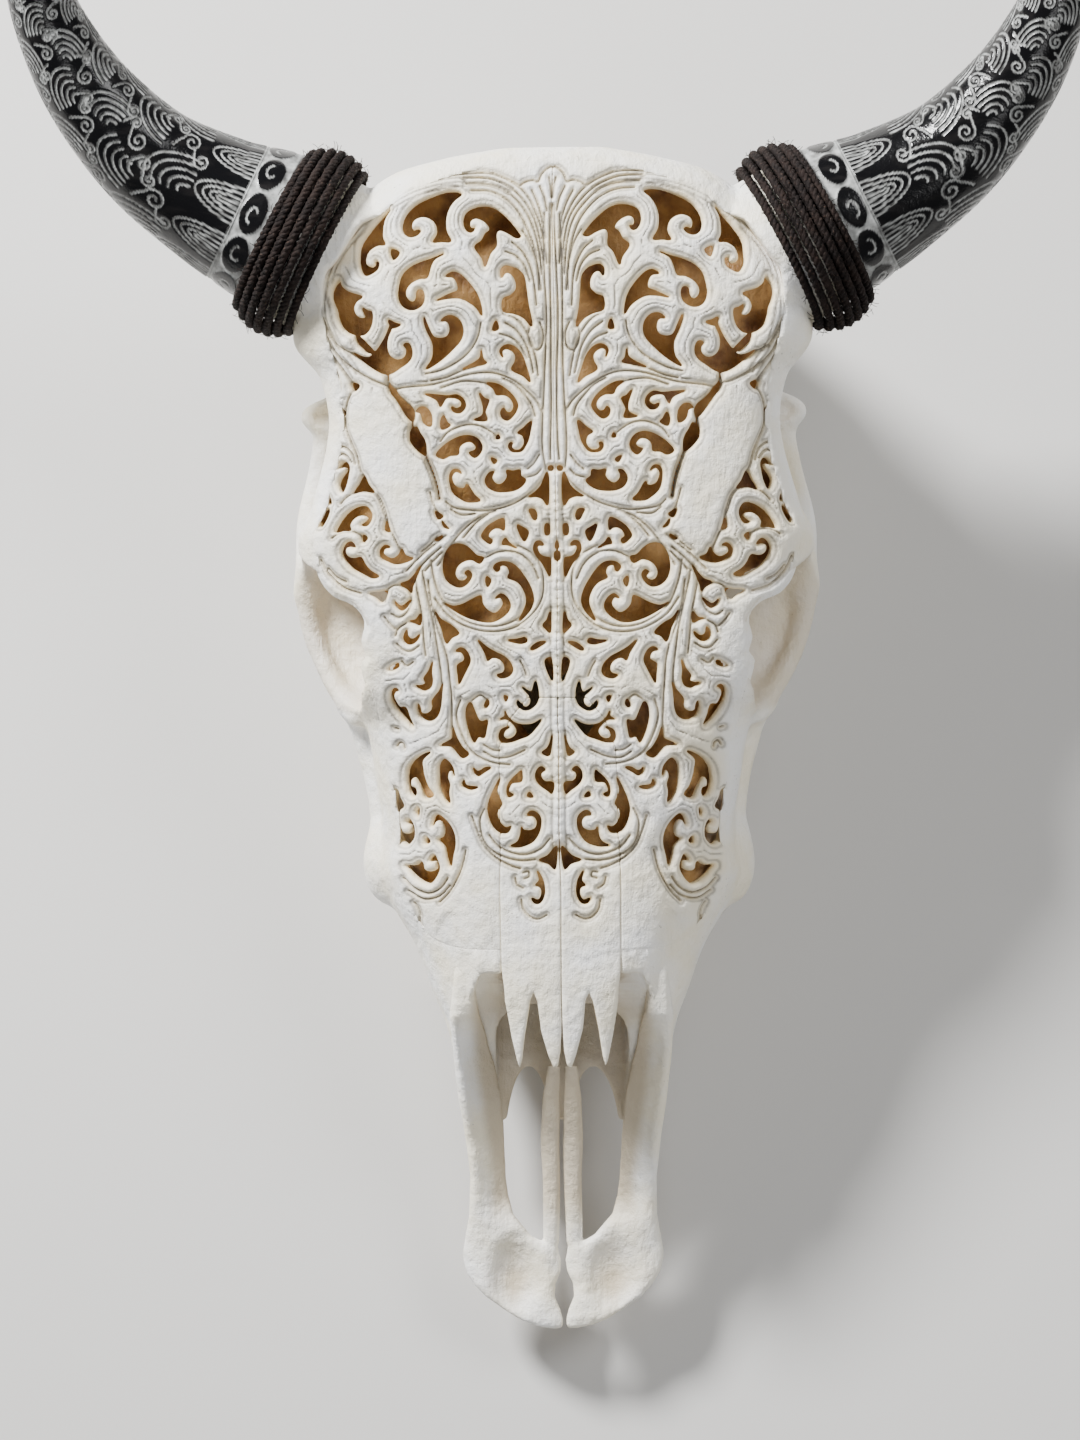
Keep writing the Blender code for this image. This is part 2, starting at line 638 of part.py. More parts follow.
def centre_over_origin(frame):
    """Slide the frame so that the middle of the whole part's box stands over the origin."""
    bpy.context.view_layer.update()
    graph = bpy.context.evaluated_depsgraph_get()
    ys = []
    for item in bpy.data.objects:
        if item.type == "MESH" and not item.hide_render:
            seen = item.evaluated_get(graph)
            ys += [(seen.matrix_world @ vertex.co).y for vertex in seen.data.vertices]
    frame.location.y -= (min(ys) + max(ys)) / 2.0


def main():
    """Build every piece, then stand the whole over the origin."""
    for item in list(bpy.data.objects):
        bpy.data.objects.remove(item, do_unlink=True)
    bone = material("bleached_bone", (0.86, 0.84, 0.78), 0.55)
    ivory = material("tooth_ivory", (0.82, 0.76, 0.62), 0.4)
    horn_black = material("black_horn", (0.02, 0.02, 0.02), 0.2)
    cord_brown = material("brown_cord", (0.06, 0.04, 0.03), 0.9)

    make = Maker()
    skull = build_skull(make, bone)
    nasals = build_nasals(make, bone, skull)
    cut_windows(make, skull, nasals)
    build_premaxillae(make, bone)
    build_teeth(make, ivory)
    build_horns(make, horn_black, cord_brown)
    centre_over_origin(make.frame)


main()
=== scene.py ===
"""Carved cow skull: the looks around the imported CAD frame. Sizes are in millimetres unless a name says otherwise."""

import logging
import math
from dataclasses import dataclass
from enum import Enum
from itertools import product

import bpy
import numpy as np
from mathutils import Matrix, Vector

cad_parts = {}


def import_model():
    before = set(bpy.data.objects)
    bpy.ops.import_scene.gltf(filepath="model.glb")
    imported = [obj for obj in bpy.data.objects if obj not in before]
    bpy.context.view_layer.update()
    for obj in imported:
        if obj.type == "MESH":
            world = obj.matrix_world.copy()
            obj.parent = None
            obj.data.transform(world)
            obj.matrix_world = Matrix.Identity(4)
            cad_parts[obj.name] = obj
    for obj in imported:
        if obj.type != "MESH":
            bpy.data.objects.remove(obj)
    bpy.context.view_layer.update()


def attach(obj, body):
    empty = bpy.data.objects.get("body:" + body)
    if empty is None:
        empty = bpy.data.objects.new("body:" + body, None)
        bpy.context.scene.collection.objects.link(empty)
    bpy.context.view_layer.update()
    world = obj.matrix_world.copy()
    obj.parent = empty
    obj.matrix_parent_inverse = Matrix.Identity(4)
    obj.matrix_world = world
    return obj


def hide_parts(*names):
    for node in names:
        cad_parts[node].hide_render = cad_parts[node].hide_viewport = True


LOG = logging.getLogger("carved_skull")
MM = 0.001

Colour = tuple[float, float, float]
Socket = bpy.types.NodeSocket
Material = bpy.types.Material

# The skull's own frame: x from the middle plane, along from the poll to the nose, z up from the forehead plane.
TILT = math.radians(12.0)
FRAME_FORWARD, FRAME_HEIGHT = 167.91, 178.0

# The photograph: its size, the line of its middle and the real size of a pixel on the forehead plane.
PHOTO_WIDTH, PHOTO_HEIGHT = 1080, 1440
PIXEL = 0.4
POLL_ROW = 143.0
MIDDLE_COLUMN, MIDDLE_ROW, MIDDLE_LEAN = 552.0, 150.0, 0.011
CAMERA_DISTANCE = 2000.0

# Seat of the horns in the skull's frame: the middle of the binding, and the way out along the horn and across it.
HORN_SEAT = (102.0, 36.0, -30.0)
HORN_RISE = math.radians(28.0)
HORN_AXIS = (math.cos(HORN_RISE), -math.sin(HORN_RISE), 0.0)
HORN_ACROSS = (math.sin(HORN_RISE), math.cos(HORN_RISE), 0.0)
HORN_RADIUS = 32.3

# Rings of the skull: along, half width, top, widest height, bottom, fullness of the upper and lower half.
SECTIONS = (
    (0, 28, -12, -40, -84, 2.6, 2.2), (3.5, 46, -5, -40, -101, 2.8, 2.2), (9, 64, -2, -36, -112, 3, 2.3),
    (18, 76, 1, -32, -122, 3.2, 2.3), (30, 84, 3, -30, -126, 3.2, 2.3), (45, 94, 4, -30, -126, 3.2, 2.3),
    (63, 107, 4, -30, -124, 3.2, 2.3), (78, 105, 3, -30, -122, 3.2, 2.3), (93, 95, 2, -30, -120, 3.2, 2.3),
    (110, 92, 2, -30, -120, 3.2, 2.3), (143, 99, 1, -34, -120, 3.2, 2.5), (158, 105, 0, -37, -120, 3.2, 2.6),
    (178, 105, -2, -41, -120, 3.1, 2.8), (200, 100, -3, -45, -120, 3, 3), (218, 92, -4, -48, -119, 2.9, 3.2),
    (232, 79, -5, -52, -115, 2.8, 3.4), (252, 75, -6, -55, -111, 2.7, 3.5), (277, 72, -7, -58, -106, 2.6, 3.5),
    (291, 74.5, -8, -61, -103, 2.5, 3.5), (304, 70, -8, -61, -100, 2.5, 3.5), (322, 60, -9, -60, -96, 2.5, 3.5),
    (340, 53, -10, -58, -92, 2.5, 3.5), (356, 47, -12, -57, -86, 2.5, 3.2), (376, 43, -15, -58, -80, 2.5, 3),
    (396, 40, -20, -58, -75, 2.5, 3),
)

# Openings of the carving, left half, as "column,row" points of the photograph; the right half mirrors them.
POLL_OPENINGS = (
    "460,192 453,198 447,207 444,218 445,230 450,240 441,240 432,240 436,232 435,223 430,217 422,214 414,216 "
    "410,221 411,228 416,227 419,229 415,233 408,234 402,229 401,220 405,210 413,202 427,195 442,190 452,189",
    "389,246 398,250 392,257",
    "387,205 382,214 380,224 380,234 383,241 376,241 368,245 364,251 363,258 365,262 370,264 374,262 374,258 "
    "377,260 376,266 371,270 365,272 361,268 358,260 357,250 357,242 360,234 366,226 374,217 381,210",
    "336,276 339,283 347,289 361,294 355,299 352,306 354,313 359,317 364,316 362,310 361,306 366,309 371,311 "
    "371,320 368,328 362,333 355,333 348,331 341,325 337,316 335,307 331,298 330,288 332,281",
    "354,333 360,337 366,343 373,351 367,352 361,347 356,341",
    "351,352 362,356 369,356 375,350 380,343 385,334 389,325 391,327 387,336 386,345 388,353 393,358 400,359 "
    "405,355 406,349 403,344 408,343 411,348 411,355 407,361 400,366 392,371 383,372 373,368 362,361",
    "388,319 394,322 400,324 393,327 389,324",
    "441,320 447,315 455,316 461,322 463,331 460,340 452,349 442,358 431,365 425,367 431,359 433,350 432,341 "
    "427,331 424,322 424,317 428,326 433,336 440,338 447,336 450,330 449,323 446,320",
    "443,253 434,258 430,266 427,276 419,277 411,281 406,287 405,294 409,300 414,300 416,295 417,289 422,289 "
    "424,295 422,303 415,308 407,308 401,303 398,294 399,283 402,273 410,265 421,260 432,257",
    "446,275 452,271 459,273 467,280 475,290 480,301 482,315 477,308 470,302 460,297 448,297 437,299 443,296 "
    "451,292 458,289 457,281 453,276",
    "474,227 471,231 466,229 463,221 465,212 472,207 482,205 492,207 501,213 510,222 517,231 521,237 516,238 "
    "508,233 500,230 496,234 496,246 490,253 485,266 482,258 474,246 481,240 485,233 490,229 487,223 480,218 "
    "473,217 469,221 470,227",
    "502,277 501,270 505,266 511,267 518,270 524,277 526,290 528,306 532,326 524,318 514,313 503,310 503,298 "
    "510,295 516,289 516,281 512,274 506,272",
    "503,357 500,351 503,346 509,344 516,347 522,354 526,364 531,381 524,375 512,369 515,362 516,355 512,350 "
    "506,348 502,351",
    "481,350 483,359 486,363 472,366 462,368 474,362 480,357", "496,320 499,328 493,329",
)
FOREHEAD_OPENINGS = (
    "486,382 496,383 505,388 513,395 518,404 515,412 508,419 502,417 500,411 503,407 506,411 511,411 514,405 "
    "511,398 504,394 496,394 493,388",
    "478,392 483,397 488,399 486,405 484,411 486,419 473,418 481,414 482,405",
    "424,392 436,393 446,394 455,393 462,398 464,405 459,411 452,410 450,405 455,407 460,404 459,399 453,396 "
    "445,396 442,400 439,405 436,399 430,395",
    "415,409 419,405 425,406 430,413 430,424 424,422 421,417 420,411", "442,414 446,421 449,424 441,428 439,421",
    "532,420 531,430 529,440 526,446 522,451 516,452 511,451 508,447 509,443 512,443 511,447 514,450 520,450 "
    "524,446 525,441 523,435 518,432 524,427",
    "388,384 394,388 398,395 404,401 411,406 413,413 410,418 405,413 400,405 395,397 390,391",
    "409,430 412,426 416,425 419,431 423,437 425,444 424,452 419,450 413,444 409,438",
    "435,453 441,446 449,440 459,435 469,434 477,438 481,446 478,453 473,456 468,451 473,449 475,445 470,440 "
    "463,441 458,446 457,453 449,454 442,457",
    "460,472 457,468 451,468 448,474 449,483 452,491 459,497 467,501 479,500 473,494 468,486 465,483 463,487 "
    "456,486 452,482 450,475 453,470 457,470",
    "493,471 488,472 484,479 487,486 494,490 503,491 514,490 522,486 526,480 521,476 520,470 513,471 506,470 "
    "507,476 503,482 497,484 492,480 491,475",
    "547,473 549,485 548,506 543,500 536,497 529,497 536,492 542,485",
    "503,518 504,530 500,528 494,528 489,532 488,537 492,540 490,544 485,541 481,536 484,530 490,524",
    "505,538 509,543 516,548 508,545 502,544", "529,510 534,510 537,515 536,520 533,519 531,515",
    "517,525 522,527 528,531 527,537 524,541 520,535",
    "543,545 540,541 535,542 533,549 536,556 541,562 545,569 549,576 550,566 549,558 545,557 540,555 537,550 "
    "537,545",
    "434,510 438,512 442,515 437,518", "441,520 445,525 448,528 443,526", "434,539 441,535 440,538 436,540",
    "490,457 496,460 493,463", "497,434 499,438 495,438", "549,467 553,467 553,471 549,471",
    "545,525 549,525 549,534 545,534", "556,541 560,548 555,548", "554,552 558,552 558,559 554,559",
)
TEMPLE_OPENINGS = (
    "349,380 357,383 351,388", "331,366 335,377 334,384 331,376", "336,405 341,408 339,412",
    "335,462 338,458 343,458 346,463 345,471 343,480 339,488 335,481 336,475 341,469 343,465 341,462 337,463",
    "318,497 320,493 325,493 327,499 324,497 321,496", "313,510 318,505 325,505 323,513 318,521 315,516",
    "361,472 366,482 371,489 360,487 350,489 356,480",
    "333,528 338,517 345,509 355,504 364,504 369,511 368,518 364,523 359,522 363,519 366,515 362,512 356,512 "
    "350,516 347,522 348,527 341,527",
    "353,545 349,540 344,541 340,547 340,553 344,560 351,567 360,572 370,577 377,575 369,570 363,563 359,556 "
    "352,557 347,556 343,552 343,546 347,544",
    "388,546 383,544 378,549 379,556 385,560 393,563 402,562 411,558 404,555 400,548 397,554 391,558 385,556 "
    "381,552 383,547",
    "360,533 365,536 361,540", "384,519 386,523 388,530 383,528",
)
BROW_OPENINGS = (
    "419,566 415,576 411,586 410,592 406,588 399,583 407,580 413,574", "386,590 381,600 375,596 368,592 377,591",
    "393,600 395,605 400,609 405,606 409,599 405,602 400,605 396,603", "419,613 419,624 413,622 408,620 414,619",
    "405,629 402,634 402,639 406,643 411,643 416,639 418,634 413,638 409,638 406,635",
    "431,662 430,672 431,680 429,687 423,690 418,688 414,685 419,685 424,683 422,678 427,671",
    "386,668 395,663 396,666 390,669",
    "454,544 447,549 443,558 442,569 445,579 452,585 460,587 467,583 471,576 468,571 464,573 467,577 463,581 "
    "457,580 454,574 456,567 462,562 471,560 479,564 483,558 476,556 470,550 463,545",
    "444,603 452,606 462,604 472,599 480,596 482,604 487,610 494,613 500,609 503,603 500,597 495,598 500,594 "
    "506,597 510,604 508,611 500,618 490,622 478,621 466,617 455,611",
    "499,570 496,572 493,568 496,564 502,562 510,563 517,568 524,577 530,587 533,598 531,607 526,614 519,620 "
    "523,611 526,602 525,594 521,586 515,581 507,578 509,573 507,567 502,565 499,567",
    "486,577 490,581 487,587 485,582",
    "434,611 440,619 449,624 458,633 451,637 446,643 443,637 441,628 437,619",
    "455,651 459,648 464,650 468,656 469,662 466,669 462,677 458,684 457,676 456,667 458,664 463,661 463,656 "
    "460,652",
    "477,641 485,647 494,652 503,656 510,662 513,670 509,676 501,678 497,675 503,673 505,668 503,662 497,658 "
    "491,658 487,661 484,653",
    "508,640 517,639 525,637 527,641 521,643 514,642", "531,648 536,643 541,641 546,641 541,645 534,649",
    "550,611 551,631 546,628 543,624 547,619", "546,659 551,657 553,667 553,680 549,673 546,664",
    "536,681 539,692 538,702 533,708 525,711 518,706 518,701 521,704 526,708 531,704 531,697 527,692 523,687 "
    "529,691 533,691",
    "396,690 393,688 389,691 389,700 392,708 396,714 401,719 410,726 406,717 403,708 397,708 393,702 391,696 "
    "393,691",
    "441,684 440,696 439,708 436,716 430,720 423,720 417,716 415,710 416,704 418,708 419,713 425,714 430,710 "
    "430,702 434,696 438,691",
)
FACE_OPENINGS = (
    "452,728 456,738 462,748 468,754 461,758 455,752 449,746 439,745 447,741 451,738",
    "427,752 418,755 409,761 403,770 402,783 405,793 409,797 412,794 411,789 407,788 406,781 409,777 413,781 "
    "418,790 422,798 430,795 425,788 421,778 419,768 419,759",
    "442,759 437,765 436,776 437,787 441,796 447,802 446,792 447,784 445,778 446,772 449,770 452,776 451,768 "
    "447,762",
    "391,791 394,799 398,807 393,811 391,820 393,829 396,835 401,836 405,834 405,827 401,824 404,821 408,827 "
    "409,836 406,842 401,845 395,841 391,834 388,824 387,811 388,800",
    "415,809 414,817 412,813", "422,838 426,842 422,844",
    "429,826 431,818 435,815 441,819 447,826 451,835 452,845 450,855 448,866 444,857 442,848 438,843 435,840 "
    "439,838 441,832 440,825 436,820 432,821",
    "401,867 410,867 416,863 419,865 420,870 424,873 430,872 434,868 433,861 427,861 431,856 434,861 436,868 "
    "433,876 428,883 423,885 416,882 409,877 404,871",
    "470,703 474,711 478,720 482,722 487,721 486,730 484,738 478,737 474,743 470,736 467,727 465,717 466,708",
    "487,700 489,704 486,708 484,706", "504,696 508,697 506,702",
    "505,712 508,718 515,724 524,726 533,725 541,721 535,730 528,737 519,740 509,743 501,742 499,736 502,730 "
    "509,728 505,731 503,736 507,740 514,738 517,732 514,726 507,720 500,720 505,717",
    "472,768 473,773 477,776 482,773 490,768 484,768 479,771 475,771",
    "462,780 464,785 469,786 476,787 469,789 463,787 460,784",
    "499,779 494,787 489,797 486,808 488,819 493,828 500,833 507,833 510,827 505,828 499,823 496,815 497,809 "
    "501,804 498,797 496,790",
    "521,772 521,782 512,783 509,787 508,792 513,795 508,797 506,791 508,784 513,778 518,774",
    "545,771 541,768 537,771 535,777 537,783 542,788 548,792 552,795 554,786 551,783 545,783 541,779 541,774",
    "529,793 533,798 527,797", "552,737 551,747 549,757 542,754 547,750 550,744",
    "527,816 530,812 535,813 540,818 541,826 539,834 534,842 527,846 518,848 510,847 517,843 520,836 521,828 "
    "523,831 530,832 536,829 537,822 533,817",
    "557,848 557,858 555,870 549,865 539,861 548,857",
    "537,872 542,880 544,890 543,898 539,904 534,904 531,899 534,900 538,901 541,896 541,890 538,887 535,886 "
    "539,881",
)
# Grooves cut between the strands, left half, as open lines of "column,row" points.
POLL_GROOVES = (
    "518,184 503,176 488,171 470,171 450,172 430,175 410,181 390,190 371,201 354,214 340,229 328,246 320,262 "
    "315,282 314,302 317,322 324,340 332,356 343,370 349,380",
    "492,171 505,177 515,183 524,191 531,201 536,212 541,225 545,245 547,265",
    "462,175 485,176 500,181 513,189 523,199 531,211 537,225 541,243 544,262",
    "465,182 485,183 500,187 512,195 522,206 530,219 536,235 540,255 542,275",
    "470,189 487,190 500,195 511,203 521,216 529,232 535,250 538,270 539,290", "532,190 538,203 543,220 546,240",
    "540,186 545,198 548,212", "520,185 525,181 533,179 538,181 541,173 546,167 553,163",
    "549,176 551,186 552,198", "512,243 522,252 530,266 534,283 536,305", "505,252 516,257 525,267 530,282",
    "523,232 530,243 537,262 541,290", "503,313 515,318 524,327 531,340 536,357 539,375",
    "505,322 517,330 526,343 531,358 534,372", "500,333 512,337 521,346 527,358",
    "533,320 529,330 530,342 536,350 542,345 543,332 539,322",
    "322,318 328,331 336,343 345,349 355,353", "325,335 333,349 344,361 357,370 372,378 387,384",
    "330,352 340,366 350,378", "425,372 440,369 455,362 466,354 474,344 479,333 481,322",
    "430,379 445,376 460,370 475,366",
    "395,387 407,385 430,383 450,378 470,373 490,372 505,376 517,382 528,391 537,400 543,410",
    "440,386 460,380 478,381 490,384", "503,378 515,384 525,394 533,405 536,415",
    "545,215 544,260 546,320 545,380 543,440 546,470", "551,205 550,300 552,400 551,460",
)
FOREHEAD_GROOVES = (
    "350,388 345,398 343,410 344,425 350,440 355,452 358,465 361,472",
    "371,489 377,497 381,508 385,518 386,527 391,533 395,541 399,549 404,555 411,557", "420,551 430,543 436,536",
    "429,490 433,503 437,511", "331,448 336,443 341,442 347,446 351,452 353,460",
    "333,453 339,449 345,452 349,458", "338,500 345,493 356,488 367,488 376,493 381,502 385,514 386,524",
    "330,535 338,530 350,529 358,533 363,540", "318,557 325,570 335,580 345,587 360,592",
    "326,566 335,575 345,580", "405,570 420,555 435,543 445,535", "415,570 428,557 440,547",
    "424,570 433,560 441,552", "437,565 450,545 462,530 478,517 495,510", "463,537 475,523 488,513",
    "440,440 446,432 456,426 468,423 480,425 490,431 497,437",
    "445,500 452,506 465,509 485,510 505,506 520,500 533,491 543,480", "450,508 460,514 475,513",
    "528,469 534,464 540,455", "528,477 536,475 541,470",
    "430,560 433,578 440,597 450,611 465,621 480,626 497,626 512,621 525,612 533,600",
    "434,598 446,614 462,625 480,631 500,631 518,625 533,612 541,598 543,583 540,565 530,552 517,545",
    "485,558 497,552 510,551 522,555 532,565 538,578",
    "421,570 425,590 430,610 434,630 437,650 440,670 441,684", "414,580 418,600 421,615 423,640 425,655",
    "427,580 430,600 436,625 443,645 447,660 449,680 451,700 452,728",
    "384,600 385,590 393,584 402,585 409,592 410,602 405,612 397,616 390,612", "383,615 388,622 394,628",
    "394,634 397,627 405,622", "395,642 402,649 410,650 418,645", "400,660 405,665 412,661",
)
FACE_GROOVES = (
    "460,700 456,715 462,735 472,752 490,762 510,765", "484,745 492,750 500,751",
    "484,752 495,758 510,757 525,751", "472,700 480,695 487,700", "520,660 524,667 527,675",
    "464,850 461,865 455,880 447,893 437,903", "400,880 410,890 425,895 438,889 446,878",
    "405,893 420,901 437,897 448,886", "411,905 415,911 417,918", "416,920 417,928", "393,745 396,741 400,743 401,747",
    "391,727 395,728", "483,808 478,820 481,838 490,850 505,858 520,861 535,860",
    "488,835 497,846 510,853 525,855 540,850 550,840", "470,815 475,830 482,845 495,858 510,866 520,869",
    "521,900 523,910 530,918 538,920 546,916", "515,878 517,885 523,889", "524,879 529,877 528,872 523,873",
)
# The deep, dark furrow over the eye.
FURROW = ("386,370 389,384 398,395 411,410 411,428 417,440 424,452 428,462 432,472 435,482 437,490 438,497",)
# Edge of the carved sheet of bone, left half.
SHEET_EDGE = (
    "575,153 520,153 492,156 470,159 440,167 410,179 385,193 372,203 345,215 325,233 315,262 311,300 315,330 "
    "322,355 329,380 329,400 327,440 322,470 315,490 308,510 304,540 308,560 316,580 330,595 350,604 362,620 "
    "358,640 362,655 356,665 362,690 368,710 372,735 376,780 380,820 383,845 380,865 385,890 400,915 420,940 "
    "450,955 500,958 575,958"
)


class Side(Enum):
    """Which half of the skull a piece is on; the value is the sign of x."""

    LEFT = -1
    RIGHT = 1

    @property
    def word(self) -> str:
        """The side's word in a piece's name."""
        return self.name.lower()


def to_world(points: np.ndarray) -> np.ndarray:
    """Turns points of the skull's frame (x, along, z in mm) into the shared frame in metres.

    Args:
        points: array of n points.

    Returns:
        Array of n points in metres.
    """
    x, along, z = points[:, 0], points[:, 1], points[:, 2]
    y = -along * math.cos(TILT) - z * math.sin(TILT) + FRAME_FORWARD
    up = -along * math.sin(TILT) + z * math.cos(TILT) + FRAME_HEIGHT
    return np.stack([x, y, up], axis=1) * MM


def floor_level(along: float | np.ndarray) -> float | np.ndarray:
    """Height, in the skull's frame, of the table under a place along it."""
    return -(FRAME_HEIGHT - along * math.sin(TILT)) / math.cos(TILT)


def smoothstep(low: float, high: float, value: np.ndarray) -> np.ndarray:
    """Eased ramp from 0 at low to 1 at high."""
    t = np.clip((value - low) / (high - low), 0.0, 1.0)
    return t * t * (3.0 - 2.0 * t)


def smooth_join(a: np.ndarray, b: np.ndarray, blend: float) -> np.ndarray:
    """Union of two distance fields with a fillet of the given size."""
    h = np.clip(0.5 + 0.5 * (b - a) / blend, 0.0, 1.0)
    return b + (a - b) * h - blend * h * (1.0 - h)


def smooth_cut(a: np.ndarray, b: np.ndarray, blend: float) -> np.ndarray:
    """Field a with the inside of field b taken away, the edge rounded."""
    return -smooth_join(-a, b, blend)


def photo_points(text: str) -> np.ndarray:
    """Reads "column,row" pairs of the photograph as places on the skull.

    Args:
        text: the pairs, split by spaces.

    Returns:
        Array of (distance from the middle, along) in mm.
    """
    pixels = np.array([[float(v) for v in pair.split(",")] for pair in text.split()])
    middle = MIDDLE_COLUMN + MIDDLE_LEAN * (pixels[:, 1] - MIDDLE_ROW)
    return np.stack([(middle - pixels[:, 0]) * PIXEL, (pixels[:, 1] - POLL_ROW) * PIXEL], axis=1)


def smooth_line(points: np.ndarray, closed: bool, steps: int) -> np.ndarray:
    """Catmull-Rom curve through the points.

    Args:
        points: n points of any dimension.
        closed: whether the curve returns to its start.
        steps: pieces between two points.

    Returns:
        The curve's points; a closed one repeats its first point at the end.
    """
    if closed:
        p = np.concatenate([points[-1:], points, points[:2]])
    else:
        p = np.concatenate([2 * points[:1] - points[1:2], points, 2 * points[-1:] - points[-2:-1]])
    a, b, c, d = p[:-3], p[1:-2], p[2:-1], p[3:]
    made = []
    for t in np.arange(steps) / steps:
        made.append(0.5 * (2 * b + (c - a) * t + (2 * a - 5 * b + 4 * c - d) * t ** 2
                           + (3 * b - a - 3 * c + d) * t ** 3))
    curve = np.stack(made, axis=1).reshape(-1, points.shape[1])
    return np.concatenate([curve, p[-2:-1]])


def line_distance(px: np.ndarray, py: np.ndarray, line: np.ndarray) -> np.ndarray:
    """Distance of each place to the nearest piece of a line."""
    best = np.full(np.broadcast(px, py).shape, np.inf)
    for (x0, y0), (x1, y1) in zip(line[:-1], line[1:]):
        dx, dy = x1 - x0, y1 - y0
        t = np.clip(((px - x0) * dx + (py - y0) * dy) / (dx * dx + dy * dy + 1e-12), 0.0, 1.0)
        np.minimum(best, (px - x0 - t * dx) ** 2 + (py - y0 - t * dy) ** 2, out=best)
    return np.sqrt(best)


def inside_line(px: np.ndarray, py: np.ndarray, line: np.ndarray) -> np.ndarray:
    """Whether each place is inside a closed line."""
    inside = np.zeros(np.broadcast(px, py).shape, bool)
    for (x0, y0), (x1, y1) in zip(line[:-1], line[1:]):
        if y0 != y1:
            inside ^= ((y0 > py) != (y1 > py)) & (px < (x1 - x0) * (py - y0) / (y1 - y0) + x0)
    return inside


def value_noise(points: np.ndarray, cell: float, seed: int) -> np.ndarray:
    """Smooth noise between -1 and 1 at points of the skull's frame.

    Args:
        points: array of n points in mm.
        cell: size of a lump in mm.
        seed: picks the pattern.

    Returns:
        One value a point.
    """
    q = points / cell
    base = np.floor(q).astype(np.int64)
    f = q - base
    f = f * f * (3.0 - 2.0 * f)
    total = np.zeros(len(points))
    for corner in product((0, 1), repeat=3):
        n = (base + corner) * np.array([73856093, 19349663, 83492791])
        key = (n[:, 0] ^ n[:, 1] ^ n[:, 2] ^ (seed * 2654435761)) & 0xFFFFFFFF
        key = ((key ^ (key >> 13)) * 1274126177) & 0xFFFFFFFF
        key = (key ^ (key >> 16)) & 0xFFFF
        weight = np.prod(np.where(np.array(corner) == 1, f, 1.0 - f), axis=1)
        total += weight * (key / 32767.5 - 1.0)
    return total


def grown(points: np.ndarray) -> np.ndarray:
    """Small unevenness of grown bone, the same for every piece, so that pieces stay together."""
    wide_cell, wide_height, small_cell, small_height = 34.0, 0.55, 11.0, 0.22
    lumps = [value_noise(points, wide_cell, 11 + k) * wide_height
             + value_noise(points, small_cell, 21 + k) * small_height for k in range(3)]
    return points + np.stack(lumps, axis=1)


class Profile:
    """The skull's outer form: its rings, joined by smooth curves along the skull."""

    def __init__(self) -> None:
        """Works out the rings' values at every half millimetre."""
        table = np.array(SECTIONS, float)
        self.along = np.arange(table[0, 0], table[-1, 0] + 0.5, 0.5)
        self.values = np.stack([self._eased(table[:, 0], table[:, k]) for k in range(1, 7)])

    def _eased(self, at: np.ndarray, values: np.ndarray) -> np.ndarray:
        """Monotone cubic curve through the values."""
        step, rise = np.diff(at), np.diff(values)
        slope = rise / step
        tangent = np.zeros(len(at))
        same = slope[:-1] * slope[1:] > 0
        tangent[1:-1][same] = 2 * slope[:-1][same] * slope[1:][same] / (slope[:-1] + slope[1:])[same]
        tangent[0], tangent[-1] = slope[0], slope[-1]
        k = np.clip(np.searchsorted(at, self.along, "right") - 1, 0, len(at) - 2)
        t = (self.along - at[k]) / step[k]
        return (values[k] * (1 + 2 * t) * (1 - t) ** 2 + tangent[k] * step[k] * t * (1 - t) ** 2
                + values[k + 1] * t * t * (3 - 2 * t) + tangent[k + 1] * step[k] * t * t * (t - 1))

    def ring(self, along: np.ndarray) -> list[np.ndarray]:
        """Half width, top, widest height, bottom and the two fullnesses at places along the skull."""
        return [np.interp(along, self.along, row) for row in self.values]

    def top(self, x: np.ndarray, along: np.ndarray) -> np.ndarray:
        """Height of the upper surface over a place of the plan."""
        half, top, widest, _, full, _ = self.ring(along)
        share = np.clip(np.abs(x) / half, 0.0, 0.995)
        return widest + (top - widest) * (1.0 - share ** full) ** (1.0 / full)

    def place(self, flat: np.ndarray) -> np.ndarray:
        """Bends flat points (x, along, height over the surface) onto the upper surface."""
        x, along, height = flat[:, 0], flat[:, 1], flat[:, 2]
        reach = 1.5
        slope_x = (self.top(x + reach, along) - self.top(x - reach, along)) / (2 * reach)
        slope_y = (self.top(x, along + reach) - self.top(x, along - reach)) / (2 * reach)
        normal = np.stack([-slope_x, -slope_y, np.ones(len(x))], axis=1)
        normal /= np.linalg.norm(normal, axis=1)[:, None]
        return np.stack([x, along, self.top(x, along)], axis=1) + normal * height[:, None]

    def distance(self, x: np.ndarray, along: np.ndarray, z: np.ndarray) -> np.ndarray:
        """Signed distance to the outer form, below zero inside."""
        half, top, widest, bottom, full_top, full_bottom = self.ring(along)
        upper = z > widest
        reach = np.where(upper, top - widest, widest - bottom)
        full = np.where(upper, full_top, full_bottom)
        a, b = np.abs(x) / half, np.abs(z - widest) / reach
        r = np.maximum((a ** full + b ** full) ** (1.0 / full), 1e-3)
        slope_a, slope_b = (a / r) ** (full - 1) / half, (b / r) ** (full - 1) / reach
        side = np.clip((r - 1.0) / np.sqrt(slope_a ** 2 + slope_b ** 2 + 1e-9), -30.0, 30.0)
        ends = np.maximum(self.along[0] - along, along - self.along[-1])
        return np.maximum(side, ends)


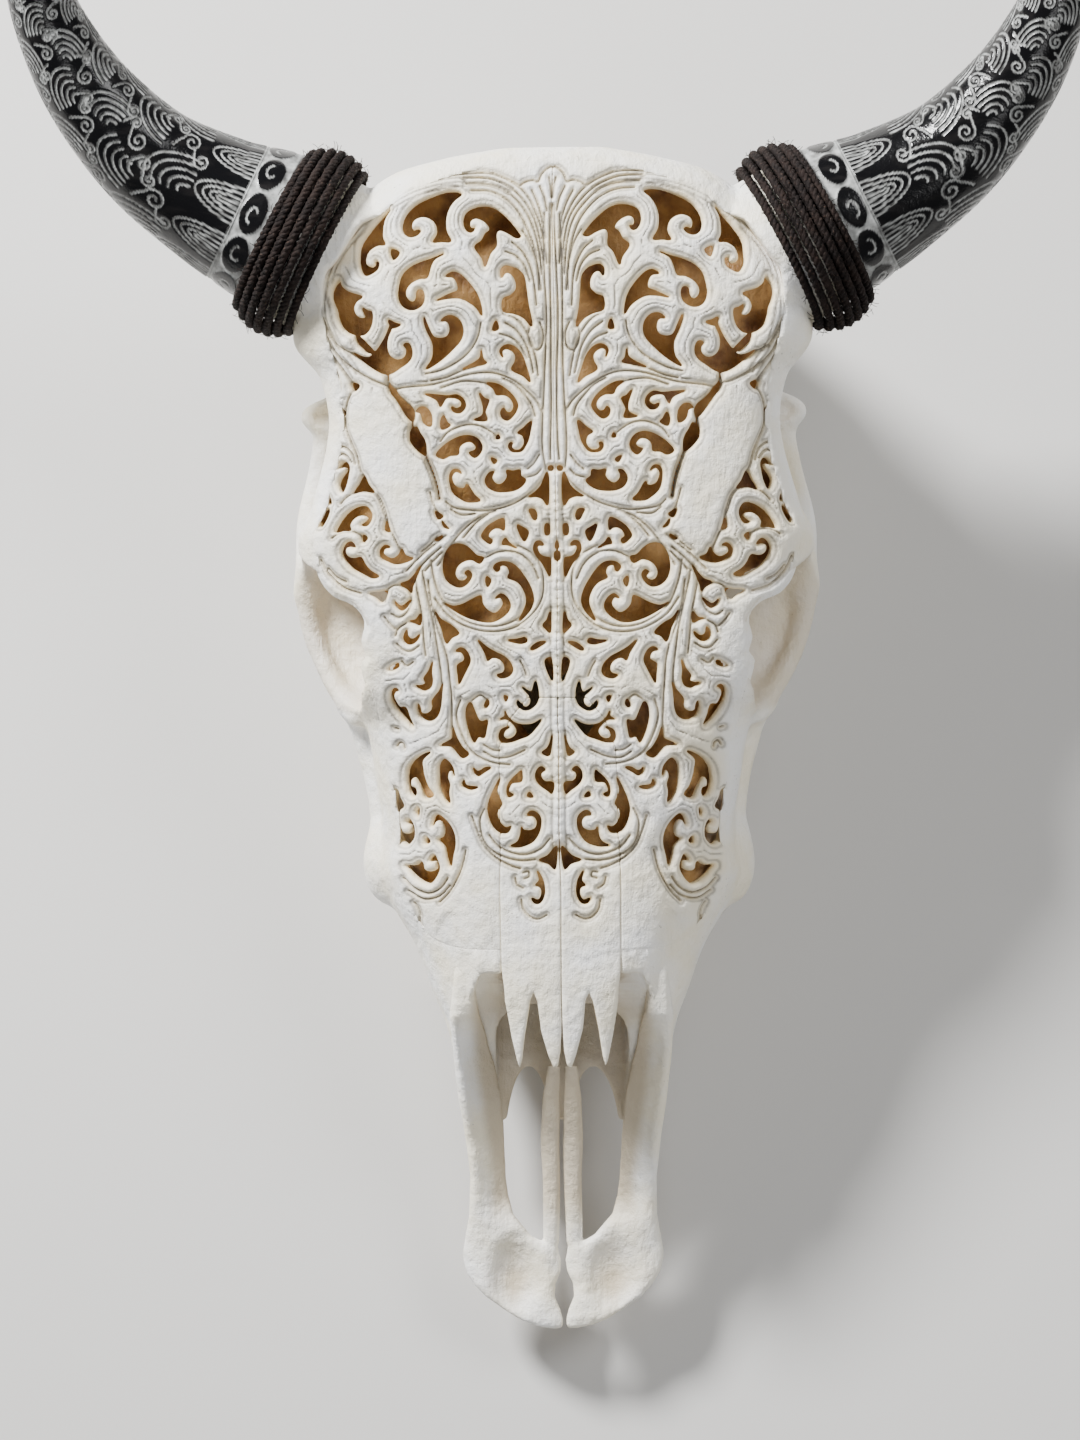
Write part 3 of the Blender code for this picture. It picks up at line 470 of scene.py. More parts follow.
def surface_net(values: np.ndarray) -> tuple[np.ndarray, np.ndarray]:
    """Finds the closed surface where a grid of values crosses zero.

    Args:
        values: grid of a field, below zero inside; it is taken as outside beyond its edges.

    Returns:
        Corner points in grid steps, and faces of four corners.
    """
    values = np.pad(values.astype(np.float32), 1, constant_values=1.0)
    solid = values < 0
    shape = [n - 1 for n in values.shape]
    count = np.zeros(shape, np.int8)
    for corner in product((0, 1), repeat=3):
        count += solid[tuple(slice(c, c + n) for c, n in zip(corner, shape))]
    active = (count > 0) & (count < 8)
    cells = np.argwhere(active)
    index = np.full(shape, -1, np.int64)
    index[active] = np.arange(len(cells))
    total, hits = np.zeros((len(cells), 3)), np.zeros(len(cells))
    for axis in range(3):
        others = [k for k in range(3) if k != axis]
        for offset in product((0, 1), repeat=2):
            start = np.zeros(3, int)
            start[others] = offset
            step = np.eye(3, dtype=int)[axis]
            near, far = values[tuple((cells + start).T)], values[tuple((cells + start + step).T)]
            cross = (near < 0) != (far < 0)
            t = near[cross] / (near[cross] - far[cross])
            total[cross] += start + t[:, None] * step
            hits[cross] += 1
    points = cells + total / hits[:, None] - 1.0
    faces = []
    for axis in range(3):
        u, v = (axis + 1) % 3, (axis + 2) % 3
        along_u, along_v = np.eye(3, dtype=int)[u], np.eye(3, dtype=int)[v]
        near = solid.take(range(0, solid.shape[axis] - 1), axis)
        far = solid.take(range(1, solid.shape[axis]), axis)
        for flip in (False, True):
            edge = np.argwhere((~near & far) if flip else (near & ~far))
            quad = [index[tuple((edge - a * along_u - b * along_v).T)] for a, b in ((1, 1), (0, 1), (0, 0), (1, 0))]
            faces.append(np.stack(quad[::-1] if flip else quad, axis=1))
    return points, np.concatenate(faces)


def outward(points: np.ndarray, faces: np.ndarray) -> np.ndarray:
    """Turns all faces over where the closed mesh is inside out."""
    a, b, c = points[faces[:, 0]], points[faces[:, 1]], points[faces[:, 2]]
    volume = np.einsum("ij,ij->", a, np.cross(b, c))
    if faces.shape[1] == 4:
        d = points[faces[:, 3]]
        volume += np.einsum("ij,ij->", a, np.cross(c, d))
    return faces[:, ::-1] if volume < 0 else faces


def make_mesh(name: str, points: np.ndarray, faces: np.ndarray) -> bpy.types.Mesh:
    """Makes a mesh of faces that all have the same number of corners."""
    mesh = bpy.data.meshes.new(name)
    corners = faces.shape[1]
    mesh.vertices.add(len(points))
    mesh.vertices.foreach_set("co", np.ascontiguousarray(points, np.float32).ravel())
    mesh.loops.add(faces.size)
    mesh.loops.foreach_set("vertex_index", np.ascontiguousarray(faces, np.int32).ravel())
    mesh.polygons.add(len(faces))
    mesh.polygons.foreach_set("loop_start", np.arange(0, faces.size, corners, dtype=np.int32))
    mesh.update(calc_edges=True)
    mesh.polygons.foreach_set("use_smooth", np.ones(len(faces), bool))
    return mesh


def read_mesh(mesh: bpy.types.Mesh) -> tuple[np.ndarray, np.ndarray]:
    """Points and triangles of a mesh that is all triangles."""
    points = np.zeros(len(mesh.vertices) * 3, np.float32)
    mesh.vertices.foreach_get("co", points)
    corners = np.zeros(len(mesh.loops), np.int32)
    mesh.loops.foreach_get("vertex_index", corners)
    return points.reshape(-1, 3).astype(float), corners.reshape(-1, 3)


def thinned(name: str, points: np.ndarray, faces: np.ndarray, triangles: int) -> tuple[np.ndarray, np.ndarray]:
    """Merges faces where the surface is flat, until about the given number of triangles is left.

    Args:
        name: name of the piece.
        points: corner points.
        faces: faces of four corners.
        triangles: number of triangles to keep.

    Returns:
        Points and triangles.
    """
    work = bpy.data.objects.new(name, make_mesh(name, points, faces))
    bpy.context.scene.collection.objects.link(work)
    cut = work.modifiers.new("Thin", "DECIMATE")
    cut.ratio = min(1.0, triangles / (2.0 * len(faces)))
    cut.use_collapse_triangulate = True
    made = bpy.data.meshes.new_from_object(work.evaluated_get(bpy.context.evaluated_depsgraph_get()))
    split = work.data
    bpy.data.objects.remove(work)
    bpy.data.meshes.remove(split)
    result = read_mesh(made)
    bpy.data.meshes.remove(made)
    return result


def tube_faces(rings: int, columns: int, first: int, start: int, end: int) -> np.ndarray:
    """Triangles of a tube of rings that a point closes at each end.

    Args:
        rings: number of rings.
        columns: points in a ring.
        first: index of the first ring's first point.
        start: index of the point that closes the first ring.
        end: index of the point that closes the last ring.

    Returns:
        The triangles.
    """
    k = np.arange(columns)
    after = (k + 1) % columns
    quads = np.concatenate([np.stack([a + k, a + after, a + columns + after, a + columns + k], axis=1)
                            for a in range(first, first + (rings - 1) * columns, columns)])
    last = first + (rings - 1) * columns
    opening = np.stack([np.full(columns, start), first + after, first + k], axis=1)
    closing = np.stack([np.full(columns, end), last + k, last + after], axis=1)
    return np.concatenate([quads[:, [0, 1, 2]], quads[:, [0, 2, 3]], opening, closing])


def add_piece(name: str, points: np.ndarray, faces: np.ndarray, material: Material,
              nodes: tuple[str, ...], marks: dict[str, np.ndarray] | None = None, sharp: float = 60.0) -> None:
    """Makes a finished piece in the shared frame and hides the CAD nodes that it replaces.

    Args:
        name: name of the piece.
        points: corner points in the skull's frame, in mm.
        faces: faces, in either turning.
        material: its finish.
        nodes: the CAD nodes that it replaces.
        marks: values at the points that the finish reads by name.
        sharp: degrees above which an edge is drawn sharp.
    """
    world = to_world(points)
    mesh = make_mesh(name, world, outward(world, faces))
    for key, values in (marks or {}).items():
        mesh.attributes.new(key, "FLOAT", "POINT").data.foreach_set("value", values.astype(np.float32))
    mesh.set_sharp_from_angle(angle=math.radians(sharp))
    finish_piece(name, mesh, material, nodes)


def finish_piece(name: str, mesh: bpy.types.Mesh, material: Material,
                 nodes: tuple[str, ...]) -> None:
    """Links a finished mesh as a piece that rides on the skull's one body."""
    mesh.materials.clear()
    mesh.materials.append(material)
    piece = bpy.data.objects.new(name, mesh)
    bpy.context.scene.collection.objects.link(piece)
    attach(piece, "root")
    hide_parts(*nodes)
    LOG.info("%s: %d points, %d faces", name, len(mesh.vertices), len(mesh.polygons))


class Recipe:
    """A material's node tree, with short calls for the nodes that the finishes share."""

    def __init__(self, name: str, roughness: float) -> None:
        """Starts a material whose shader has the given roughness."""
        self.material = bpy.data.materials.new(name)
        self.material.use_nodes = True
        self.tree = self.material.node_tree
        self.shader = self.tree.nodes["Principled BSDF"]
        self.shader.inputs["Roughness"].default_value = roughness
        self.place = self.tree.nodes.new("ShaderNodeTexCoord").outputs["Object"]

    def stretched(self, x: float, y: float, z: float) -> Socket:
        """Object coordinates, scaled a different amount each way."""
        node = self.tree.nodes.new("ShaderNodeMapping")
        node.inputs["Scale"].default_value = (x, y, z)
        self.tree.links.new(self.place, node.inputs["Vector"])
        return node.outputs["Vector"]

    def noise(self, scale: float, detail: float, vector: Socket | None = None) -> Socket:
        """Noise pattern; its scale is in lumps a metre."""
        node = self.tree.nodes.new("ShaderNodeTexNoise")
        node.inputs["Scale"].default_value = scale
        node.inputs["Detail"].default_value = detail
        self.tree.links.new(vector or self.place, node.inputs["Vector"])
        return node.outputs["Fac"]

    def cells(self, scale: float) -> Socket:
        """Distance to scattered points."""
        node = self.tree.nodes.new("ShaderNodeTexVoronoi")
        node.inputs["Scale"].default_value = scale
        self.tree.links.new(self.place, node.inputs["Vector"])
        return node.outputs["Distance"]

    def mark(self, name: str) -> Socket:
        """A value that the mesh carries at its points."""
        node = self.tree.nodes.new("ShaderNodeAttribute")
        node.attribute_name = name
        return node.outputs["Fac"]

    def between(self, value: Socket, low: float, high: float, start: float = 0.0,
                end: float = 1.0) -> Socket:
        """Maps low..high of a value to start..end, held beyond."""
        node = self.tree.nodes.new("ShaderNodeMapRange")
        for key, number in zip(("From Min", "From Max", "To Min", "To Max"), (low, high, start, end)):
            node.inputs[key].default_value = number
        self.tree.links.new(value, node.inputs["Value"])
        return node.outputs["Result"]

    def times(self, a: Socket, b: Socket) -> Socket:
        """Product of two values."""
        node = self.tree.nodes.new("ShaderNodeMath")
        node.operation = "MULTIPLY"
        self.tree.links.new(a, node.inputs[0])
        self.tree.links.new(b, node.inputs[1])
        return node.outputs[0]

    def blend(self, amount: Socket, first: Socket | Colour, second: Socket | Colour) -> Socket:
        """Goes from the first colour, or a socket of one, to the second as the amount goes from 0 to 1."""
        node = self.tree.nodes.new("ShaderNodeMix")
        node.data_type = "RGBA"
        self.tree.links.new(amount, node.inputs["Factor"])
        for socket, given in zip([s for s in node.inputs if s.type == "RGBA"], (first, second)):
            if isinstance(given, tuple):
                socket.default_value = (*given, 1.0)
            else:
                self.tree.links.new(given, socket)
        return next(s for s in node.outputs if s.type == "RGBA")

    def bump(self, heights: list[tuple[Socket, float]]) -> None:
        """Adds fine relief: each height with its depth in metres."""
        last = None
        for height, depth in heights:
            node = self.tree.nodes.new("ShaderNodeBump")
            node.inputs["Distance"].default_value = depth
            node.inputs["Strength"].default_value = 1.0
            self.tree.links.new(height, node.inputs["Height"])
            if last is not None:
                self.tree.links.new(last, node.inputs["Normal"])
            last = node.outputs["Normal"]
        self.tree.links.new(last, self.shader.inputs["Normal"])

    def finish(self, colour: Socket, roughness: Socket | None = None) -> Material:
        """Joins the colour, and a roughness where it varies, to the shader."""
        self.tree.links.new(colour, self.shader.inputs["Base Color"])
        if roughness is not None:
            self.tree.links.new(roughness, self.shader.inputs["Roughness"])
        return self.material


@dataclass(frozen=True)
class BoneFinish:
    """Bleached bone: white with cream clouds, ochre inside, yellow on cut walls with yellow painted shade in the
    recesses, dark grey painted shade in the engraved lines and tan painted shade in the hollows.
    """

    white: Colour = (0.89, 0.885, 0.86)
    cream: Colour = (0.86, 0.80, 0.64)
    cut: Colour = (0.80, 0.64, 0.35)
    ochre: Colour = (0.56, 0.33, 0.12)
    brown: Colour = (0.20, 0.095, 0.035)
    groove_shade_colour: Colour = (0.15, 0.13, 0.10)
    hollow_shade: Colour = (0.56, 0.475, 0.34)
    pit: Colour = (0.30, 0.27, 0.22)

    def make(self) -> Material:
        """Builds the material."""
        r = Recipe("bleached_bone", 0.55)
        clouds = r.between(r.noise(38.0, 5.0), 0.36, 0.64)
        colour = r.blend(clouds, self.white, self.cream)
        fibres = r.noise(1.0, 3.0, r.stretched(700.0, 90.0, 700.0))
        colour = r.blend(r.between(fibres, 0.55, 0.8, 0.0, 0.30), colour, self.cream)
        pores = r.between(r.cells(420.0), 0.0, 0.2, 1.0, 0.0)
        patches = r.between(r.noise(48.0, 2.0), 0.56, 0.66)
        colour = r.blend(r.times(pores, patches), colour, self.pit)
        # Painted shade: tan laid into the hollows of the nose, the orbits and the premaxillae.
        colour = r.blend(r.mark("hollow_shade"), colour, self.hollow_shade)
        # Yellow of the cut walls, also laid as painted shade on the recessed ground between strands.
        cut_yellow_and_recess_shade = r.times(r.mark("wall"), r.between(r.noise(90.0, 3.0), 0.3, 0.7, 0.55, 1.0))
        colour = r.blend(cut_yellow_and_recess_shade, colour, self.cut)
        inner = r.blend(r.between(r.noise(60.0, 4.0), 0.48, 0.66), self.ochre, self.brown)
        colour = r.blend(r.mark("inner"), colour, inner)
        # Painted shade: dark grey-brown laid into the engraved lines, grooves and the furrow, broken up by noise.
        groove_shaded = r.times(r.mark("groove_shade"), r.between(r.noise(130.0, 2.0), 0.25, 0.6, 0.45, 1.0))
        colour = r.blend(groove_shaded, colour, self.groove_shade_colour)
        r.bump([(fibres, 0.0004), (r.noise(1500.0, 3.0), 0.0002), (r.noise(210.0, 4.0), 0.0011)])
        return r.finish(colour, r.between(r.noise(70.0, 3.0), 0.3, 0.7, 0.42, 0.66))


@dataclass(frozen=True)
class EnamelFinish:
    """Worn ivory of the cheek teeth, stained brown in the folds."""

    ivory: Colour = (0.78, 0.70, 0.52)
    stain: Colour = (0.30, 0.19, 0.09)

    def make(self) -> Material:
        """Builds the material."""
        r = Recipe("tooth_enamel", 0.3)
        streaks = r.noise(1.0, 4.0, r.stretched(500.0, 500.0, 90.0))
        colour = r.blend(r.between(streaks, 0.45, 0.75, 0.0, 0.8), self.ivory, self.stain)
        colour = r.blend(r.mark("fold"), colour, self.stain)
        r.bump([(streaks, 0.0003)])
        r.shader.inputs["Coat Weight"].default_value = 0.2
        return r.finish(colour, r.between(r.noise(300.0, 2.0), 0.3, 0.7, 0.22, 0.42))


@dataclass(frozen=True)
class HornFinish:
    """Polished black horn whose carved lines carry a pale painted sheen."""

    black: Colour = (0.003, 0.003, 0.0035)
    smoke: Colour = (0.011, 0.010, 0.010)
    sheen_silver: Colour = (0.40, 0.41, 0.40)
    sheen_dim: Colour = (0.13, 0.13, 0.125)

    def make(self) -> Material:
        """Builds the material."""
        r = Recipe("carved_black_horn", 0.2)
        layers = r.noise(1.0, 3.0, r.stretched(60.0, 220.0, 220.0))
        colour = r.blend(r.between(layers, 0.5, 0.75), self.black, self.smoke)
        # Painted sheen: pale grey on the carved lines and the oval band, dimmer in places by noise.
        line = r.mark("line")
        wear = r.noise(260.0, 4.0)
        pale = r.blend(r.between(wear, 0.35, 0.68), self.sheen_silver, self.sheen_dim)
        r.shader.inputs["Specular IOR Level"].default_value = 0.35
        r.bump([(wear, 0.0002), (r.noise(1400.0, 2.0), 0.00006)])
        return r.finish(r.blend(line, colour, pale), r.between(line, 0.0, 1.0, 0.16, 0.55))


@dataclass(frozen=True)
class CordFinish:
    """Dark brown plant fibre, with lighter brown painted glints along the fibres."""

    dark: Colour = (0.006, 0.0035, 0.003)
    brown: Colour = (0.014, 0.0078, 0.006)
    glint_brown: Colour = (0.062, 0.036, 0.025)

    def make(self) -> Material:
        """Builds the material."""
        r = Recipe("bound_cord", 0.85)
        fibres = r.noise(900.0, 4.0)
        colour = r.blend(r.between(r.noise(160.0, 3.0), 0.4, 0.65), self.dark, self.brown)
        # Painted glints: lighter brown on the fibres.
        colour = r.blend(r.between(fibres, 0.6, 0.78), colour, self.glint_brown)
        r.bump([(fibres, 0.0007), (r.noise(2600.0, 2.0), 0.0002)])
        r.shader.inputs["Specular IOR Level"].default_value = 0.2
        return r.finish(colour, r.between(fibres, 0.3, 0.7, 0.9, 0.7))


@dataclass(frozen=True)
class FloorFinish:
    """Plain pale floor."""

    pale: Colour = (0.62, 0.61, 0.59)
    shade: Colour = (0.59, 0.58, 0.56)

    def make(self) -> Material:
        """Builds the material."""
        r = Recipe("pale_floor", 0.8)
        return r.finish(r.blend(r.noise(3.0, 2.0), self.pale, self.shade))


@dataclass
class CarvedSheet:
    """The pierced sheet of bone over the sinus, with the nasal bones that carry the last of the carving.

    One half is made flat as (x, along, height over the surface), then bent onto the skull and mirrored.
    """

    profile: Profile
    step: float = 0.5
    layer: float = 0.65
    width: float = 105.0
    length: float = 373.0
    thickness: float = 4.4
    crown: float = 2.1
    crown_reach: float = 1.35
    line_offset: float = 1.75
    line_depth: float = 0.5
    opened: float = 0.3
    lip: float = 3.5
    nasal_gap: float = 0.03
    triangles: int = 185000
    nasal_triangles: int = 45000
    rim_lines: tuple[float, ...] = (2.0, 3.8, 5.6)
    nasal_thickness: float = 5.0
    nasal_thinning: float = 2.6
    uneven: float = 0.8
    nasal_plan: tuple[tuple[float, float], ...] = (
        (0.12, 222), (12, 222), (19.5, 231), (23.6, 242), (24, 262), (24, 300), (24, 330), (23, 345), (20.8, 358),
        (18.6, 368), (17.6, 371), (16.6, 368), (15, 356), (12.8, 344), (11.3, 340.5), (9.8, 344), (8.4, 356),
        (5.6, 366), (3.6, 371), (1.8, 370), (0.7, 364), (0.12, 352),
    )
    beads: tuple[float, float] = (131.0, 287.0)
    bead_pitch: float = 3.4

    def __post_init__(self) -> None:
        """Draws the flat maps of one half."""
        self.x = np.arange(-self.step, self.width, self.step)
        self.along = np.arange(2.0, self.length, self.step)
        openings = POLL_OPENINGS + FOREHEAD_OPENINGS + TEMPLE_OPENINGS + BROW_OPENINGS + FACE_OPENINGS
        self.opening = self._nearest([photo_points(t) for t in openings], True, 9.0) - self.opened
        grooves = POLL_GROOVES + FOREHEAD_GROOVES + FACE_GROOVES
        self.groove = self._nearest([photo_points(t) for t in grooves], False, 9.0)
        self.furrow = self._nearest([photo_points(t) for t in FURROW], False, 9.0)
        edge = self._nearest([photo_points(SHEET_EDGE)], True, 400.0)
        half = self.profile.ring(self.along)[0]
        self.edge = np.maximum(edge, self.x[:, None] - (half[None, :] - 3.0))
        self.nasal = self._nearest([np.array(self.nasal_plan, float)], True, 400.0, 1)
        self._draw_relief()

    def _nearest(self, lines: list[np.ndarray], closed: bool, reach: float, steps: int = 3) -> np.ndarray:
        """Distance from each place of the map to the nearest line, below zero inside a closed one."""
        found = np.full((len(self.x), len(self.along)), reach)
        for points in lines:
            line = smooth_line(points, closed, steps)
            low, high = line.min(0) - reach, line.max(0) + reach
            i = slice(*np.searchsorted(self.x, (low[0], high[0])))
            j = slice(*np.searchsorted(self.along, (low[1], high[1])))
            px, py = self.x[i, None], self.along[None, j]
            away = line_distance(px, py, line)
            if closed:
                away = np.where(inside_line(px, py, line), -away, away)
            found[i, j] = np.minimum(found[i, j], away)
        return found

    def _widest(self, values: np.ndarray, reach: int) -> np.ndarray:
        """Largest value within a few steps of each place."""
        for axis in (0, 1):
            best = values.copy()
            for shift in range(1, reach + 1):
                for way in (-shift, shift):
                    best = np.maximum(best, np.roll(values, way, axis))
            values = best
        return values

    def _draw_relief(self) -> None:
        """Height of the carved surface over the skull's own, and how much painted shade its lines carry."""
        edge = np.minimum(self.opening, np.minimum(self.groove + 0.4, self.furrow + 0.2))
        relief = -self.crown * np.exp(-np.maximum(edge, 0.0) / self.crown_reach)
        band = self._widest(edge, 5)
        strand = smoothstep(2.4, 3.0, band) * (1.0 - smoothstep(5.5, 8.0, band))
        line = np.exp(-((edge - self.line_offset) / 0.3) ** 2) * strand
        slope = np.hypot(*np.gradient(self.opening, self.step))
        parted = smoothstep(0.75, 0.25, slope) * smoothstep(2.6, 3.2, self.opening)
        parted = parted * smoothstep(7.5, 5.0, self.opening) * smoothstep(1.0, 2.0, self.groove)
        rim = smooth_line(photo_points(POLL_GROOVES[0]), False, 3)
        px, py = self.x[:, None], self.along[None, :]
        rim_away = line_distance(px, py, rim)
        within = inside_line(px, py, np.concatenate([rim, rim[:1]]))
        for offset in self.rim_lines:
            line = np.maximum(line, np.exp(-((rim_away - offset) / 0.33) ** 2) * within * (self.opening > 0.8))
        cut = np.maximum(np.exp(-(self.groove / 0.42) ** 2), parted)
        furrow = np.exp(-(self.furrow / 1.2) ** 2)
        first, last = self.beads
        on_beads = smoothstep(first, first + 4, py) * (1 - smoothstep(last - 4, last, py))
        bead = np.exp(-(px / 1.5) ** 2) * np.abs(np.cos(np.pi * py / self.bead_pitch)) ** 0.6 * on_beads
        beside = np.exp(-((px - 2.7) / 0.4) ** 2) * on_beads
        self.relief = relief - self.line_depth * line - 0.8 * cut - 2.2 * furrow + 0.7 * bead - 0.6 * beside
        # Painted shade for the lines, the cut grooves, the furrow and the grooves beside the beads.
        self.groove_shade = np.clip(np.maximum.reduce([1.3 * line, 1.4 * cut, furrow, beside]), 0.0, 1.0)
        self.dip = self.crown * smoothstep(-self.lip, 0.0, self.edge)

    def sample(self, values: np.ndarray, x: np.ndarray, along: np.ndarray) -> np.ndarray:
        """Reads a map between its places."""
        i = np.clip((x - self.x[0]) / self.step, 0, len(self.x) - 1.001)
        j = np.clip((along - self.along[0]) / self.step, 0, len(self.along) - 1.001)
        a, b = i.astype(int), j.astype(int)
        u, v = i - a, j - b
        return ((values[a, b] * (1 - u) + values[a + 1, b] * u) * (1 - v)
                + (values[a, b + 1] * (1 - u) + values[a + 1, b + 1] * u) * v)

    def _half(self, name: str, relief: np.ndarray, outside: np.ndarray, thickness: np.ndarray,
              triangles: int) -> tuple[np.ndarray, np.ndarray]:
        """One flat half of a sheet: points and triangles."""
        height = np.arange(-thickness.max() - self.layer, 1.0, self.layer)
        side = np.maximum(outside, -self.x[:, None] + 0.0 * outside)[:, :, None]
        solid = np.maximum(np.maximum(height - relief[:, :, None], -(height + thickness[:, :, None])), side)
        points, faces = surface_net(solid)
        points = points * (self.step, self.step, self.layer) + (self.x[0], self.along[0], height[0])
        return thinned(name, points, faces, triangles)

    def _marks(self, flat: np.ndarray, relief: np.ndarray) -> dict[str, np.ndarray]:
        """How much of each colour a point has: cut wall with painted shade in the recesses, ochre inside, painted shade
        in the lines.
        """
        x, along, height = flat.T
        under = self.sample(relief, x, along) - height
        near_hole = np.exp(-np.maximum(self.sample(self.opening, x, along), 0.0) / 1.3)
        # Recessed ground between strands: painted shade, given the cut walls' yellow.
        low = smoothstep(-0.5, -1.6, self.sample(self.relief, x, along))
        wall = np.maximum(smoothstep(0.3, 1.5, under), np.maximum(0.9 * near_hole, 0.7 * low))
        inner = smoothstep(2.4, 4.2, under)
        # Painted shade of the lines, fading out down the cut walls.
        groove_shade = self.sample(self.groove_shade, x, along) * smoothstep(1.5, 0.5, under)
        return {"wall": wall, "inner": inner * 0.85, "groove_shade": groove_shade, "hollow_shade": np.zeros(len(flat))}

    def _placed(self, flat: np.ndarray, side: Side) -> np.ndarray:
        """Bends flat points onto one half of the skull; the carver's two halves differ slightly."""
        flat = flat.copy()
        if side is Side.RIGHT:
            plan = flat * (1.0, 1.0, 0.0)
            free = smoothstep(1.0, 16.0, flat[:, 0])
            flat[:, 0] += self.uneven * free * value_noise(plan, 48.0, 5)
            flat[:, 1] += self.uneven * free * value_noise(plan, 41.0, 6)
        placed = self.profile.place(flat)
        placed[:, 0] *= side.value
        return grown(placed)

    def build(self, bone: Material) -> None:
        """Makes the sheet's halves and the nasal bones."""
        outside = np.maximum(np.maximum(-self.opening, self.edge), self.nasal_gap - self.nasal)
        even = np.full(self.edge.shape, self.thickness)
        sheet_relief = self.relief - self.dip
        flat, faces = self._half("carved_sheet", sheet_relief, outside, even, self.triangles)
        for side in Side:
            add_piece(f"carved_sheet_{side.word}", self._placed(flat, side), faces, bone, ("skull",),
                      self._marks(flat, sheet_relief))
        tip = smoothstep(325.0, 371.0, self.along)[None, :]
        prongs = smoothstep(328.0, 340.0, self.along)[None, :]
        relief = self.relief - 0.8 * prongs * np.exp(-np.maximum(-self.nasal, 0.0) / 0.8)
        flat, faces = self._half("nasal_bone", relief, np.maximum(-self.opening, self.nasal),
                                 self.nasal_thickness - self.nasal_thinning * tip + 0.0 * self.edge,
                                 self.nasal_triangles)
        for side in Side:
            add_piece(f"nasal_bone_{side.word}_carved", self._placed(flat, side), faces, bone,
                      (f"nasal_bone_{side.word}",), self._marks(flat, relief))


class Block:
    """A grid of distances over one half of the skull, with the shapes that are added and cut."""

    def __init__(self, low: tuple[float, float, float], high: tuple[float, float, float], step: float) -> None:
        """Starts an empty block between two corners."""
        self.axes = [np.arange(a, b, step) for a, b in zip(low, high)]
        self.step = step
        self.values = np.full([len(a) for a in self.axes], 30.0, np.float32)

    def window(self, low: np.ndarray, high: np.ndarray) -> tuple[tuple[slice, ...], list[np.ndarray]]:
        """The part of the grid between two corners: its slices and its coordinates."""
        cut = tuple(slice(*np.searchsorted(axis, (a, b))) for axis, a, b in zip(self.axes, low, high))
        x, y, z = [axis[s] for axis, s in zip(self.axes, cut)]
        return cut, [x[:, None, None], y[None, :, None], z[None, None, :]]

    def whole(self) -> list[np.ndarray]:
        """Coordinates of the whole grid."""
        return self.window([-1e9] * 3, [1e9] * 3)[1]

    def _apply(self, cut: tuple[slice, ...], away: np.ndarray, blend: float, add: bool) -> None:
        """Adds or cuts a shape in a window."""
        change = smooth_join if add else smooth_cut
        self.values[cut] = change(self.values[cut], away, blend)

    def ball(self, centre: tuple[float, float, float], radii: tuple[float, float, float], blend: float,
             add: bool) -> None:
        """Adds or cuts an ellipsoid."""
        c, r = np.array(centre, float), np.array(radii, float)
        cut, (x, y, z) = self.window(c - r - 14, c + r + 14)
        u, v, w = (x - c[0]) / r[0], (y - c[1]) / r[1], (z - c[2]) / r[2]
        k = np.sqrt(u * u + v * v + w * w) + 1e-6
        slope = np.sqrt((u / r[0]) ** 2 + (v / r[1]) ** 2 + (w / r[2]) ** 2) + 1e-6
        self._apply(cut, k * (k - 1.0) / slope, blend, add)

    def bar(self, path: tuple[tuple[float, ...], ...], blend: float, add: bool = True, steps: int = 4) -> None:
        """Adds or cuts a round bar through points of (x, along, z, radius)."""
        line = smooth_line(np.array(path, float), False, steps)
        reach = line[:, 3].max() + 12
        cut, (x, y, z) = self.window(line[:, :3].min(0) - reach, line[:, :3].max(0) + reach)
        best = np.full(np.broadcast(x, y, z).shape, 1e9)
        for start, end in zip(line[:-1], line[1:]):
            d = end[:3] - start[:3]
            t = ((x - start[0]) * d[0] + (y - start[1]) * d[1] + (z - start[2]) * d[2]) / (d @ d + 1e-9)
            t = np.clip(t, 0.0, 1.0)
            away = np.sqrt((x - start[0] - t * d[0]) ** 2 + (y - start[1] - t * d[1]) ** 2
                           + (z - start[2] - t * d[2]) ** 2)
            np.minimum(best, away - start[3] - t * (end[3] - start[3]), out=best)
        self._apply(cut, best, blend, add)

    def hollow(self, table: tuple[tuple[float, ...], ...], full: float, blend: float, add: bool = False) -> None:
        """Cuts or adds a rounded box that runs along the skull: rows of (along, inner x, outer x, high, low)."""
        rows = np.array(sorted(table), float)
        cut, (x, y, z) = self.window((-1e9, rows[0, 0] - 12, -1e9), (1e9, rows[-1, 0] + 12, 1e9))
        inner, outer, high, low = [np.interp(y, rows[:, 0], rows[:, k]) for k in range(1, 5)]
        half, tall = (outer - inner) / 2, (high - low) / 2
        a, b = np.abs(x - (inner + outer) / 2) / half, np.abs(z - (high + low) / 2) / tall
        r = np.maximum((a ** full + b ** full) ** (1 / full), 1e-3)
        slope = np.sqrt(((a / r) ** (full - 1) / half) ** 2 + ((b / r) ** (full - 1) / tall) ** 2 + 1e-9)
        side = np.clip((r - 1) / slope, -30, 30)
        ends = np.maximum(rows[0, 0] - y, y - rows[-1, 0])
        self._apply(cut, np.maximum(side, ends), blend, add)

    def mesh(self, name: str, triangles: int, mirrored: bool) -> tuple[np.ndarray, np.ndarray]:
        """The surface of the block, or of the block and its mirror image, thinned."""
        values, start = self.values, self.axes[0][0]
        if mirrored:
            values = np.concatenate([values[::-1], values])
            start = -self.axes[0][-1]
        points, faces = surface_net(values)
        points = points * self.step + (start, self.axes[1][0], self.axes[2][0])
        return thinned(name, points, faces, triangles)


